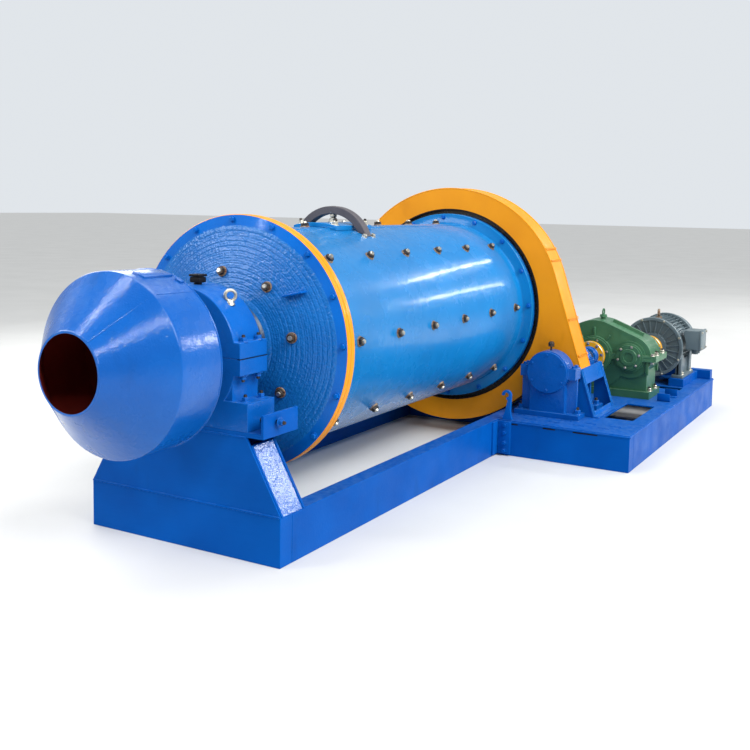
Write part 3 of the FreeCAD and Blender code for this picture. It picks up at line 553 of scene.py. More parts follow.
def makeFeeder():
    low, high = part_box("drum_feeder")
    rearX, mouthX, outerR = high.x, low.x, (high.y - low.y) / 2
    rearR = outerR - feeder["rearLip"]
    mouthR, bendX, t, b = feeder["mouthR"], feeder["bendX"], feeder["wall"], feeder["bend"]
    cone = math.atan2(outerR - mouthR, bendX - mouthX)
    outside = [(rearX, rearR), (bendX + b, outerR - 0.0004)]
    for i in range(5):  # the rolled bend between cone and drum
        angle = cone * i / 4
        outside.append((bendX - b * math.sin(angle) * 0.6, outerR - 0.0006 - b * (1 - math.cos(angle)) * 0.9))
    outside += [(mouthX + 0.004, mouthR + 0.003), (mouthX, mouthR), (mouthX, mouthR - t)]
    inside = [(bendX, outerR - t * 1.4), (rearX - t, rearR - t), (rearX - t, feeder["rearBore"]),
              (rearX, feeder["rearBore"])]
    bm = bmesh.new()
    for face in turned(bm, outside + inside, axis, 128):
        spot = face.calc_center_median()
        radius = math.hypot(spot.y, spot.z - axisZ)
        wallR = mouthR + (outerR - mouthR) * min(1, (spot.x - mouthX) / (bendX - mouthX))
        if spot.x > mouthX + 0.002 and radius < wallR - t * 0.6 and spot.x < rearX - 0.001:
            face.material_index = 1
    newPiece("drumFeeder", bm, [feederEnamel, redPrimer], "drum", ("drum_feeder",))
    bm = bmesh.new()
    addHoop(bm, rearX - 0.001, rearR - 0.001, feeder["rearBead"], axis, 128)
    addHoop(bm, mouthX + 0.006, mouthR + 0.002, feeder["mouthBead"], axis, 128)
    for degrees in feeder["seams"]:  # seams of the two rolled halves
        for x0, r0, x1, r1 in ((mouthX + 0.004, mouthR + 0.002, bendX - 0.006, outerR - 0.008),
                               (bendX + b, outerR - 0.001, rearX, rearR - 0.001)):
            addBead(bm, onCircle(x0, r0, degrees, axis), onCircle(x1, r1, degrees, axis), feeder["seamBead"])
    for x, plate in ((rearX - 0.022, feeder["tab"]), ((bendX + rearX) / 2 + 0.02, feeder["patch"])):
        spot = onCircle(x, rearR + 0.003, plate["degrees"], axis)
        addCube(bm, aim(spot, outFrom(spot, axis), plate["turn"]), plate["size"], 0, 0.003)
    newPiece("feederWelds", bm, [feederEnamel], "drum")
    bm = bmesh.new()
    boltCircle(bm, midBolt, rearX + 0.03, 1, feeder["boltR"], feeder["bolts"], 10, axis)
    newPiece("feederBolts", bm, [zincPlate, blackOxide, blackOxide], "drum")


makeDrumShell()
makeHeads()
makeDrumBolts()
makeLedge()
makeHeadBolts()
makeManhole()
makeFeeder()
print("drum made")


# ---------- main bearings and their stands ----------

bearing = {"halfW": 0.11, "capR": 0.335, "earTop": 0.08, "earBoltY": 0.343, "earBoltX": 0.06, "footBoltY": 0.36,
           "footBoltX": 0.065, "footTop": 0.138, "sealR": 0.245, "sealHole": 0.194, "sealT": 0.014, "sealBolts": 8,
           "sealBoltR": 0.228, "gasket": (0.345, 0.3635), "keeperY": 0.5, "keeperEnd": 0.4075, "keeperZ": 0.045,
           "eyeY": -0.218, "eyeTurn": -0.85, "cupY": -0.016, "cup": 0.06, "cupH": 0.04,
           "boreEdge": 0.191, "boreDrawn": 0.1915}


def makeBearing(prefix):
    body, cap = prefix + "_bearing_body", prefix + "_bearing_cap"
    bore = bearing["boreDrawn"]
    for node in (body, cap):
        piece = softCopy(node, castEnamel, "frame", 0.006, 3)
        for vert in piece.data.vertices:  # the visual bore is opened a little, so that the journal turns clear of it
            reach = math.hypot(vert.co.y, vert.co.z - axisZ)
            if reach < bearing["boreEdge"]:
                vert.co.y *= bore / reach
                vert.co.z = axisZ + (vert.co.z - axisZ) * bore / reach
    low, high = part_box(cap)
    x = (low.x + high.x) / 2
    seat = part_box(body)[0].z
    sealR, hole = bearing["sealR"], bearing["sealHole"]
    bm = bmesh.new()
    for face in (-1, 1):  # seal rings, with the felt inside them
        x0 = x + face * bearing["halfW"]
        x1 = x0 + face * bearing["sealT"]
        turned(bm, [(x0, hole), (x0, sealR), (x1 - face * 0.003, sealR), (x1, sealR - 0.003), (x1, hole)], axis, 64)
        turned(bm, [(x0, bore), (x1 + face * 0.003, bore), (x1 + face * 0.003, 0.2), (x0, 0.2)], axis, 64, 1)
    for side in (-1, 1):  # the gasket line of the split
        y0, y1 = sorted(side * y for y in bearing["gasket"])
        addBlock(bm, (low.x - 0.0005, y0, axisZ - 0.0012), (high.x + 0.0005, y1, axisZ + 0.0012), 1)
    newPiece(prefix + "BearingSeals", bm, [blueEnamel, blackRubberAndGapShade], "frame")
    bm = bmesh.new()
    for face in (-1, 1):
        boltCircle(bm, tinyScrew, x + face * (bearing["halfW"] + bearing["sealT"]), face, bearing["sealBoltR"],
                   bearing["sealBolts"], 22.5, axis)
    for side in (-1, 1):
        earY, footY = side * bearing["earBoltY"], side * bearing["footBoltY"]
        for along in (-1, 1):
            for way in (1, -1):
                spot = (x + along * bearing["earBoltX"], earY, axisZ + way * bearing["earTop"])
                placeMesh(bm, midBolt, aim(spot, (0, 0, way), along))
            placeMesh(bm, midBolt, aim((x + along * bearing["footBoltX"], footY, seat + bearing["footTop"]), (0, 0, 1),
                                       side))
        # the set screw that holds the bearing sideways
        keeper, z = side * bearing["keeperY"], seat + bearing["keeperZ"]
        placeMesh(bm, midBolt, aim((x, keeper + side * 0.0155, z), (0, side, 0)))
        addRod(bm, (x, keeper, z), (x, side * bearing["keeperEnd"], z), 0.012, 2)
        placeMesh(bm, midBolt, aim((x, keeper - side * 0.016, z), (0, -side, 0)))
    newPiece(prefix + "BearingBolts", bm, [castEnamel, castEnamel, blackOxide], "frame")
    top, y, half, cupH = axisZ + bearing["capR"], bearing["cupY"], bearing["cup"] / 2, bearing["cupH"]
    bm = bmesh.new()  # oil cup on a stem: a box, then its lid
    addRod(bm, (x, y, top - 0.006), (x, y, top + 0.012), 0.02)
    addBlock(bm, (x - half, y - half, top + 0.008), (x + half, y + half, top + 0.008 + cupH * 0.7), 0, 0.006)
    half += 0.003
    addBlock(bm, (x - half, y - half, top + 0.012 + cupH * 0.65), (x + half, y + half, top + 0.01 + cupH), 0, 0.004)
    newPiece(prefix + "OilCup", bm, [blackRubberAndGapShade], "frame")
    y = bearing["eyeY"]
    z = axisZ + math.sqrt(bearing["capR"] ** 2 - y ** 2)
    bm = bmesh.new()  # lifting eye on the shoulder
    addRod(bm, (x, y, z - 0.01), (x, y, z + 0.012), 0.024, 0, 20, 0.017)
    addRing(bm, Matrix.Translation((x, y, z + 0.036)) @ Matrix.Rotation(bearing["eyeTurn"], 4, "Z"), 0.026, 0.0085,
            0, 28, 10)
    newPiece(prefix + "BearingEyeBolt", bm, [zincPlate], "frame")


stand = {"topHalf": 0.397, "footBead": 0.006, "topBead": 0.005, "sideBead": 0.0075}


def makeStand(prefix):
    for part, material, soft, segments in (
            ("outer_plate", baseEnamel, 0.0015, 1), ("inner_plate", baseEnamel, 0.0015, 1),
            ("near_side", feederEnamel, 0.0015, 1), ("far_side", feederEnamel, 0.0015, 1),
            ("top_plate", baseEnamel, 0.0025, 2)):
        softCopy(prefix + "_stand_" + part, material, "frame", soft, segments)
    low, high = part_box(prefix + "_stand_outer_plate")
    innerLow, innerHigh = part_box(prefix + "_stand_inner_plate")
    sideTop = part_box(prefix + "_stand_near_side")[1].z
    half = stand["topHalf"]
    bm = bmesh.new()
    for plateLow, plateHigh, way in ((low, high, -1), (innerLow, innerHigh, 1)):
        x = plateLow.x if (way < 0) == (prefix == "feed") else plateHigh.x
        addBead(bm, (x, plateLow.y + 0.004, low.z), (x, plateHigh.y - 0.004, low.z), stand["footBead"])
        addBead(bm, (x, -half, high.z), (x, half, high.z), stand["topBead"])
    topY = low.y - (low.y + half) * (sideTop - low.z) / (high.z - low.z)
    for side in (-1, 1):
        for x in (max(low.x, innerLow.x), min(high.x, innerHigh.x)):
            addBead(bm, (x, side * abs(low.y), low.z), (x, side * abs(topY), sideTop), stand["sideBead"])
    newPiece(prefix + "StandWelds", bm, [baseEnamel], "frame")


for prefix in ("feed", "discharge"):
    makeBearing(prefix)
    makeStand(prefix)
for name in ("front_cross_beam", "rear_cross_beam", "near_long_beam", "far_long_beam", "drive_front_beam",
             "drive_rear_beam", "drive_outer_beam", "drive_inner_beam"):
    softCopy(name, baseEnamel, "frame", 0.003)
print("bearings and base made")


# ---------- guard ----------

guard = {"radius": 0.868, "opening": 0.715, "bead": 0.0045, "arcStep": 2.5, "arcSteps": 60, "skirt": 17.9,
         "joints": (30.5, 24.5, 155.5), "skirtJoints": (0.335, 0.60), "stripT": 0.006, "skirtStripT": 0.007,
         "stripHigh": 0.022, "stripBevel": 0.0012, "windowX": (0.004, 0.034), "stitch": 0.014}


def makeGuard():
    for name in ("guard_front_plate", "guard_rear_plate", "guard_rim"):
        softCopy(name, orangeEnamel, "frame", 0.001, 1)
    x0, x1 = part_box("guard_front_plate")[0].x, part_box("guard_rear_plate")[1].x
    midX, width, seal = (x0 + x1) / 2, x1 - x0 - 0.006, guard["opening"]
    bm = bmesh.new()
    turned(bm, [(x0 - 0.004, seal - 0.007), (x0 - 0.004, seal + 0.002), (x0 + 0.01, seal + 0.002),
                (x0 + 0.01, seal - 0.007)], axis, 128)
    newPiece("guardSeal", bm, [blackRubberAndGapShade], "frame")
    bm = bmesh.new()
    for degrees in guard["joints"]:  # paired strips where the parts of the rim bolt together
        spot = onCircle(midX, guard["radius"] - 0.003, degrees, axis)
        out = outFrom(spot, axis)
        for shift in (-0.004, 0.004):
            addPlank(bm, spot + out * 0.004 + Vector((0, -out.z, out.y)) * shift, out,
                     (width, guard["stripT"], guard["stripHigh"]), guard["stripBevel"], 1)
    newPiece("guardJoints", bm, [orangeEnamel], "frame")
    # beads along the rim's two edges, round the arc and down the skirt, where the plates are welded to the rim
    bm = bmesh.new()
    lean = math.radians(guard["skirt"])
    tangent = onCircle(0, guard["radius"], guard["skirt"], axis)
    down, out = Vector((0, -math.sin(lean), -math.cos(lean))), Vector((0, -math.cos(lean), math.sin(lean)))
    foot = tangent + down * (tangent.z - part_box("pinion_casing")[1].z) / math.cos(lean)
    for x in (x0 + 0.002, x1 - 0.002):
        points = [onCircle(x, guard["radius"], guard["skirt"] + guard["arcStep"] * i, axis)
                  for i in range(guard["arcSteps"])]
        for a, b in zip(points, points[1:]):
            addRod(bm, a, b, guard["bead"], 0, 8)
        addBead(bm, (x, tangent.y, tangent.z), (x, foot.y, foot.z), guard["bead"])
    for drop in guard["skirtJoints"]:
        for shift in (-0.005, 0.005):
            spot = tangent + down * (drop + shift) + out * 0.003
            spot.x = midX
            addPlank(bm, spot, out, (width, guard["skirtStripT"], guard["stripHigh"]), guard["stripBevel"], 1)
    newPiece("guardWelds", bm, [orangeEnamel], "frame")
    softCopy("pinion_casing", blueEnamel, "frame", 0.004)
    low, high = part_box("pinion_casing")
    rise = (tangent - foot).normalized()
    sill = foot - rise * (foot.z - low.z - 0.012) / rise.z
    bm = bmesh.new()
    for inset in guard["windowX"]:
        for x in (low.x + inset, high.x - inset):
            addBead(bm, (x, foot.y - 0.002, foot.z - 0.004), (x, sill.y - 0.002, sill.z), guard["bead"], 0,
                    guard["stitch"])
    # the window beads take the lighter, glossier head enamel: a painted highlight along the window edges
    newPiece("casingWeldsPaintedHighlight", bm, [headEnamel], "frame")


makeGuard()
print("guard made")


# ---------- drive ----------

pinionHouse = {"r": 0.15, "earBoltY": {"front": 0.176, "rear": 0.154}, "earBoltX": 0.03, "earTop": 0.04,
               "footBoltY": 0.205, "footTop": 0.034, "face": 0.081, "screwR": 0.124, "screws": 6}


def makePinionBearings():
    y, z = pinion
    for label in ("front", "rear"):
        name = label + "_pinion_bearing"
        softCopy(name, castEnamel, "frame", 0.005, 3)
        low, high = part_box(name)
        x = (low.x + high.x) / 2
        bm = bmesh.new()
        for side in (-1, 1):
            earY = y + side * pinionHouse["earBoltY"][label]
            for along in (-pinionHouse["earBoltX"], pinionHouse["earBoltX"]):
                placeMesh(bm, smallBolt, aim((x + along, earY, z + pinionHouse["earTop"]), (0, 0, 1), along * 9))
            foot = (x, y + side * pinionHouse["footBoltY"], deckZ + pinionHouse["footTop"])
            placeMesh(bm, bigBolt, aim(foot, (0, 0, 1)))
        for way in (-1, 1):
            boltCircle(bm, tinyScrew, x + way * pinionHouse["face"], way, pinionHouse["screwR"], pinionHouse["screws"],
                       30, pinion)
        newPiece(label + "PinionBearingBolts", bm, [castEnamel, castEnamel, blackOxide], "frame")
        bm = bmesh.new()
        top = z + pinionHouse["r"]
        for z0, z1, r0, r1, sides in ((-0.004, 0.028, 0.007, 0.007, 12), (0.026, 0.05, 0.02, 0.022, 20),
                                      (0.05, 0.062, 0.022, 0.012, 20)):  # stem, cup, lid
            addRod(bm, (x, y, top + z0), (x, y, top + z1), r0, 0, sides, r1)
        newPiece(label + "GreaseCup", bm, [blackOxide], "frame")


coupling = {"low": {"x": 3.825, "hub": 0.068, "half": 0.075, "disc": 0.113, "shaft": 0.0443, "pins": 8},
            "high": {"x": 4.51, "hub": 0.058, "half": 0.062, "disc": 0.106, "shaft": 0.0293, "pins": 6}}


def makeCoupling(name, node, body, centre, look):
    low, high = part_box(node)
    x, half, disc, hub = look["x"], look["half"], look["disc"], look["hub"]
    bm = bmesh.new()
    for way in (-1, 1):  # two discs with a gap between them, each with its hub
        a, b = x + way * 0.002, x + way * 0.023
        turned(bm, [(a, look["shaft"]), (a, disc), (b - way * 0.003, disc), (b, disc - 0.003), (b, look["shaft"])],
               centre, 64)
        e = x + way * half
        turned(bm, [(b, look["shaft"]), (b, hub + 0.006), (b + way * 0.006, hub), (e - way * 0.003, hub),
                    (e, hub - 0.003), (e, look["shaft"])], centre, 48, 1)
    turned(bm, [(low.x, 0.0), (low.x, look["shaft"]), (high.x, look["shaft"]), (high.x, 0.0)], centre, 48, 2)
    for way in (-1, 1):
        boltCircle(bm, tinyScrew, x + way * 0.023, way, disc - 0.018, look["pins"], 8, centre)
    for face in bm.faces:  # the pin nuts come with their own indices
        if face.calc_area() < 0.00012 and face.material_index == 0:
            face.material_index = 2
    newPiece(name, bm, [yellowEnamel, blueEnamel, turnedSteel], body, (node,))


reducer = {"lowBoss": 0.146, "highBoss": 0.108, "boss": 0.028, "width": 0.29, "x0": 3.93, "split": 0.024,
           "bore": 0.05, "ribs": ((90.0, 0.215), (52.0, 0.2), (128.0, 0.2)), "ribT": 0.016, "screws": 6,
           "splitBolts": 7, "footTop": 0.0555, "plugDrop": 0.16}


def makeReducer():
    softCopy("reducer_case", greenEnamel, "frame", 0.005, 3)
    softCopy("reducer_cover", greenEnamel, "frame", 0.005, 3)
    low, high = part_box("reducer_case")
    x0, x1 = reducer["x0"], reducer["x0"] + reducer["width"]
    z = pinion[1]
    bm = bmesh.new()
    bosses = ((pinion, reducer["lowBoss"], -1), (motorAxis, reducer["highBoss"], 1))
    ends = ((-1, x0 - reducer["boss"]), (1, x1 + reducer["boss"]))
    for centre, r, openWay in bosses:  # a stepped cap over each shaft's end, or round the shaft where it comes out
        for way, face in ends:
            bore = reducer["bore"] if way == openWay else 0.0
            steps = ((0, bore), (0, r - 0.012), (0.008, r - 0.014), (0.008, r * 0.62), (0.014, r * 0.58),
                     (0.014, r * 0.36), (0.006, r * 0.33), (0.006, bore))
            turned(bm, [(face + way * reach, radius) for reach, radius in steps], centre, 64)
    for y in (low.y + 0.07, high.y - 0.07):  # lifting lugs cast on the case's sides
        for x in (x0 - 0.012, x1 - 0.008):
            addBlock(bm, (x, y - 0.012, z - 0.13), (x + 0.02, y + 0.012, z - reducer["split"] + 0.002), 0, 0.004)
    for way, x in ((-1, x0), (1, x1)):  # ribs that run out from the low-speed boss, and a pad round the other
        for degrees, end in reducer["ribs"]:
            start, stop = [onCircle(x + way * 0.006, r, degrees, pinion) for r in (reducer["lowBoss"] - 0.004, end)]
            addPlank(bm, (start + stop) / 2, (stop - start).normalized(),
                     (0.02, reducer["ribT"], (stop - start).length), 0.004)
        addRod(bm, (x - way * 0.004, motorAxis[0], z + 0.002), (x + way * 0.012, motorAxis[0], z + 0.002),
               reducer["highBoss"] + 0.016, 0, 48)
    newPiece("reducerCaps", bm, [greenEnamel], "frame")
    bm = bmesh.new()
    for centre, r, _ in bosses:
        for way, face in ends:
            boltCircle(bm, tinyScrew, face + way * 0.008, way, r * 0.78, reducer["screws"], 15, centre)
    for x in (x0 - 0.012, x1 + 0.012):
        for i in range(reducer["splitBolts"]):
            y = low.y + 0.03 + (high.y - low.y - 0.06) * i / (reducer["splitBolts"] - 1)
            if all(abs(y - centre[0]) >= r for centre, r, _ in bosses):
                for way in (1, -1):
                    placeMesh(bm, smallBolt, aim((x, y, z + way * reducer["split"]), (0, 0, way), i))
    for x in (x0 + 0.06, x1 - 0.06):
        placeMesh(bm, midBolt, aim((x, low.y + 0.02, z + reducer["split"]), (0, 0, 1)))
        for y in (low.y + 0.062, high.y - 0.03):
            placeMesh(bm, midBolt, aim((x, y, deckZ + reducer["footTop"]), (0, 0, 1)))
    newPiece("reducerBolts", bm, [zincPlate, zincPlate, blackOxide], "frame")
    bm = bmesh.new()  # breather with a ring on the top, then the oil plug low on the front
    xm, ym = x0 + reducer["width"] / 2, pinion[0] - 0.02
    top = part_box("reducer_cover")[1].z
    addRod(bm, (xm, ym, top - 0.03), (xm, ym, top + 0.012), 0.02, 0, 20)
    addRod(bm, (xm, ym, top + 0.01), (xm, ym, top + 0.03), 0.03, 0, 24, 0.026)
    addRing(bm, Matrix.Translation((xm, ym, top + 0.05)), 0.024, 0.006)
    plugY, plugZ = pinion[0] + 0.2, z - reducer["plugDrop"]
    addRod(bm, (x0 - 0.006, plugY, plugZ), (x0 + 0.02, plugY, plugZ), 0.016, 0, 20)
    newPiece("reducerBreather", bm, [greenEnamel], "frame")


motor = {"coreR": 0.206, "finR": 0.235, "fins": 44, "finT": 0.006, "shieldR": 0.248, "shieldT": 0.034, "cowl": 0.125,
         "cowlR": 0.232, "grilleRings": 7, "grilleBars": 8, "grilleBarR": 0.0028, "shieldRibs": 24, "blades": 7,
         "bladeR": 0.105, "bladeTurn": -0.5, "screws": 8, "footY": 0.203, "footBoltY": 0.228, "footT": 0.026,
         "eyeX": 0.19, "eyeTurn": 0.3, "lid": 0.008, "glands": (0.06, 0.13), "lidScrew": 0.014}


def isBareOfFins(degrees):  # where the terminal box and the feet leave no room
    return abs(degrees - 10) < 22 or degrees > 348 or 208 < degrees < 250 or 290 < degrees < 332


def makeMotorBody():
    x0, x1 = motorLow.x, motorHigh.x
    y, z = motorAxis
    backX = x1 - motor["cowl"]
    s, t, c, core = motor["shieldR"], motor["shieldT"], motor["cowlR"], motor["coreR"]
    bm = bmesh.new()
    turned(bm, [(x0 + t - 0.002, 0.0), (x0 + t - 0.002, core), (backX - t + 0.002, core), (backX - t + 0.002, 0.0)],
           motorAxis, 64)
    for a, way in ((x0 + t, -1), (backX - t, 1)):  # end shields with a dished face and a bearing boss
        steps = ((0, 0.0), (0, s - 0.004), (0.004, s), (t - 0.004, s), (t, s - 0.004), (t, s - 0.024),
                 (t - 0.012, s - 0.032), (t - 0.018, 0.12), (t - 0.002, 0.112), (t - 0.002, 0.085), (t - 0.008, 0.08),
                 (t - 0.008, 0.0))
        turned(bm, [(a + way * reach, radius) for reach, radius in steps], motorAxis, 72)
    turned(bm, [(backX, c - 0.003), (backX, c), (x1 - 0.03, c), (x1 - 0.01, c - 0.008), (x1 - 0.002, c - 0.026),
                (x1, c - 0.05), (x1 - 0.003, c - 0.05), (x1 - 0.006, c - 0.028), (x1 - 0.013, c - 0.011),
                (x1 - 0.031, c - 0.003)], motorAxis, 72)
    for i in range(motor["grilleRings"]):
        radius = 0.03 + (c - 0.08) * i / (motor["grilleRings"] - 1)
        addHoop(bm, x1 - 0.003, radius, motor["grilleBarR"], motorAxis, 40, 6)
    for i in range(motor["grilleBars"]):
        end = onCircle(x1 - 0.005, c - 0.047, 360 / motor["grilleBars"] * i, motorAxis)
        addRod(bm, (x1 - 0.005, y, z), end, 0.003, 0, 6)
    for i in range(motor["fins"]):
        degrees = 360 / motor["fins"] * (i + 0.5)
        if isBareOfFins(degrees):
            continue
        middle = onCircle((x0 + backX) / 2, (core + motor["finR"]) / 2 - 0.003, degrees, motorAxis)
        out = outFrom(middle, motorAxis)
        side = Vector((0, -out.z, out.y))
        size = (backX - x0 - 2 * t - 0.002, motor["finT"], motor["finR"] - core + 0.006)
        for vert in addPlank(bm, middle, out, size):  # cast fins thin towards their tips
            if (vert.co - middle).dot(out) > 0:
                vert.co -= side * (vert.co - middle).dot(side) * 0.45
    footZ = motorLow.z
    for side in (-1, 1):  # feet, their legs and the web between them
        padY = y + side * motor["footY"]
        addBlock(bm, (x0 + 0.05, padY - 0.046, footZ), (x1 - 0.165, padY + 0.046, footZ + motor["footT"]), 0, 0.004)
        for x in (x0 + 0.06, x1 - 0.255):
            addBlock(bm, (x, padY - 0.03, footZ + 0.02), (x + 0.08, padY + 0.02, z - 0.06), 0, 0.006)
        addBlock(bm, (x0 + 0.06, padY - 0.012, footZ + 0.02), (x1 - 0.175, padY + 0.01, z - 0.1), 0, 0.004)
    for i in range(motor["shieldRibs"]):  # cooling ribs cast on the front end shield
        degrees = 360 / motor["shieldRibs"] * i + 7.5
        inner, outer = [onCircle(x0 + 0.007, r, degrees, motorAxis) for r in (0.118, s - 0.026)]
        addPlank(bm, (inner + outer) / 2, outFrom(outer, motorAxis), (0.013, 0.006, (outer - inner).length))
    newPiece("motorBody", bm, [motorEnamel], "frame", ("motor",))


def makeMotorFittings():
    x0, x1 = motorLow.x, motorHigh.x
    y, z = motorAxis
    backX, c = x1 - motor["cowl"], motor["cowlR"]
    bm = bmesh.new()
    addRod(bm, (x1 - 0.06, y, z), (backX, y, z), 0.05, 0, 24)
    for i in range(motor["blades"]):  # the fan behind the grille
        spot = onCircle(x1 - 0.06, motor["bladeR"], 360 / motor["blades"] * i, motorAxis)
        addPlank(bm, spot, outFrom(spot, motorAxis), (0.05, 0.004, 0.13), turn=motor["bladeTurn"])
    newPiece("motorFan", bm, [blackRubberAndGapShade], "frame")
    bm = bmesh.new()
    boltCircle(bm, tinyScrew, x0, -1, motor["shieldR"] - 0.012, motor["screws"], 22.5, motorAxis)
    for i in range(motor["screws"]):
        spot = onCircle(backX + 0.02, c - 0.001, 360 / motor["screws"] * i + 10, motorAxis)
        placeMesh(bm, tinyScrew, aim(spot, outFrom(spot, motorAxis)))
    for side in (-1, 1):
        for x in (x0 + 0.1, x1 - 0.215):
            placeMesh(bm, midBolt, aim((x, y + side * motor["footBoltY"], motorLow.z + motor["footT"]), (0, 0, 1)))
    newPiece("motorBolts", bm, [zincPlate, zincPlate, zincPlate], "frame")
    bm = bmesh.new()
    eyeX, eyeZ = x0 + motor["eyeX"], z + motor["finR"]
    addRod(bm, (eyeX, y, eyeZ - 0.03), (eyeX, y, eyeZ + 0.006), 0.026, 0, 20)
    addRing(bm, Matrix.Translation((eyeX, y, eyeZ + 0.036)) @ Matrix.Rotation(motor["eyeTurn"], 4, "Z"), 0.026, 0.01,
            0, 28, 10)
    newPiece("motorEyeBolt", bm, [rustyWasher], "frame")
    softCopy("motor_terminal_box", motorEnamel, "frame", 0.004, 3)
    low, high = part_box("motor_terminal_box")
    lid, inset = motor["lid"], motor["lidScrew"]
    bm = bmesh.new()
    addBlock(bm, (low.x - 0.005, low.y - lid, low.z - 0.005), (high.x + 0.005, low.y + lid, high.z + 0.005), 0, 0.004)
    for x in (low.x + reach for reach in motor["glands"]):  # cable glands under the box, with their nuts
        addRod(bm, (x, low.y + 0.05, low.z + 0.004), (x, low.y + 0.05, low.z - 0.03), 0.021, 0, 20)
        addRod(bm, (x, low.y + 0.05, low.z - 0.022), (x, low.y + 0.05, low.z - 0.04), 0.025, 0, 6)
    newPiece("terminalBoxLid", bm, [motorEnamel], "frame")
    bm = bmesh.new()
    for x in (low.x + inset, high.x - inset):
        for height in (low.z + inset, high.z - inset):
            placeMesh(bm, tinyScrew, aim((x, low.y - lid, height), (0, -1, 0)))
    newPiece("terminalBoxScrews", bm, [zincPlate, zincPlate], "frame")


driveBase = {"edgeBead": 0.0065, "stitch": 0.014, "stitchRows": ((0.22, 0.0), (0.12, 0.05)), "stitches": 5,
             "gaps": ((-0.746, -0.625), (-1.011, -0.925), (-1.300, -1.133)), "bracketY": (-1.455, -1.36),
             "jointBolts": (0.035, 0.09, 0.16, 0.215), "stoolHalf": 0.26,
             "deckBolts": ((3.410, -0.605), (3.371, -0.512), (4.459, -0.700), (4.74, -0.62))}


def makeDriveBase():
    softCopy("drive_deck", baseEnamel, "frame", 0.002, 1)
    softCopy("motor_stool", baseEnamel, "frame", 0.003)
    softCopy("lifting_hook", blueEnamel, "frame", 0.003)
    low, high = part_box("drive_deck")
    bm = bmesh.new()
    bead, stitch = driveBase["edgeBead"], driveBase["stitch"]
    for x in (low.x, high.x):
        addBead(bm, (x, low.y, low.z), (x, high.y, low.z), bead, 0, stitch)
    for y in (low.y, high.y):
        addBead(bm, (low.x, y, low.z), (high.x, y, low.z), bead, 0, stitch)
    for i in range(driveBase["stitches"]):  # stitch welds of the deck on its cross ribs
        for reach, shift in driveBase["stitchRows"]:
            x, y = low.x + reach, low.y + 0.12 + 0.17 * i + shift
            addBead(bm, (x, y, high.z), (x, y + 0.08, high.z), 0.004)
    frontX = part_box("drive_front_beam")[0].x
    gapShadeBlocks = bmesh.new()  # black blocks in the gaps between the stitches under the deck's front edge, as painted shade in those gaps
    for y0, y1 in driveBase["gaps"]:
        addBlock(gapShadeBlocks, (frontX - 0.0015, y0, low.z - 0.016), (frontX + 0.004, y1, low.z - 0.007), 0, 0.001)
    newPiece("deckStitchGapPaintedShade", gapShadeBlocks, [blackRubberAndGapShade], "frame")
    y0, y1 = driveBase["bracketY"]
    for x, left, right in ((3.915, 0.0, 0.05), (4.159, 0.05, 0.0)):  # small angle brackets beside the reducer
        addBlock(bm, (x - 0.004, y0, deckZ - 0.001), (x + 0.004, y1, deckZ + 0.06), 0, 0.002)
        addBlock(bm, (x - 0.004 - left, y0, deckZ - 0.001), (x + 0.004 + right, y1, deckZ + 0.007), 0, 0.002)
    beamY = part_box("near_long_beam")[0].y
    for x0, y0, x1, y1 in ((-0.012, -0.10, 0.001, -0.008), (-0.105, -0.012, -0.013, 0.001),
                           (-0.026, -0.10, -0.0135, -0.0125)):  # plates of the joint between the two bases
        addBlock(bm, (frontX + x0, beamY + y0, 0.012), (frontX + x1, beamY + y1, deckZ - 0.006), 0, 0.002)
    for z in driveBase["jointBolts"]:
        placeMesh(bm, smallBolt, aim((frontX - 0.026, beamY - 0.06, z), (-1, 0, 0), z * 9))
    stoolLow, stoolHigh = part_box("motor_stool")
    y = motorAxis[0] - driveBase["stoolHalf"]
    addBead(bm, (stoolLow.x, y, deckZ), (stoolHigh.x, y, deckZ), 0.004)
    newPiece("driveBaseWelds", bm, [baseEnamel, baseEnamel], "frame")
    bm = bmesh.new()
    for x, y in driveBase["deckBolts"]:
        placeMesh(bm, midBolt, aim((x, y, deckZ), (0, 0, 1), x))
    newPiece("deckBolts", bm, [baseEnamel, baseEnamel, blackOxide], "frame")


makePinionBearings()
makeCoupling("lowSpeedCoupling", "low_speed_coupling", "pinion_line", pinion, coupling["low"])
makeCoupling("highSpeedCoupling", "high_speed_coupling", "motor_line", motorAxis, coupling["high"])
makeReducer()
makeMotorBody()
makeMotorFittings()
makeDriveBase()
for node, material in (("feed_trunnion", turnedSteel), ("discharge_trunnion", turnedSteel),
                       ("girth_gear", greasyIron), ("pinion_shaft", turnedSteel)):  # shown as the CAD has them
    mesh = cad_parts[node].data
    mesh.materials.clear()
    mesh.materials.append(material)
print("drive made")


# ---------- floor, light and camera ----------

studio = {"floor": "#d0d0ce", "floorPatch": "#d6d6d4", "world": "#eef3f8", "worldPower": 0.42, "seenPower": 0.88,
          "floorHalf": 90.0, "sky": 2.55, "skyAngle": 35.0, "skyFrom": (-0.15, -0.72, 0.68)}


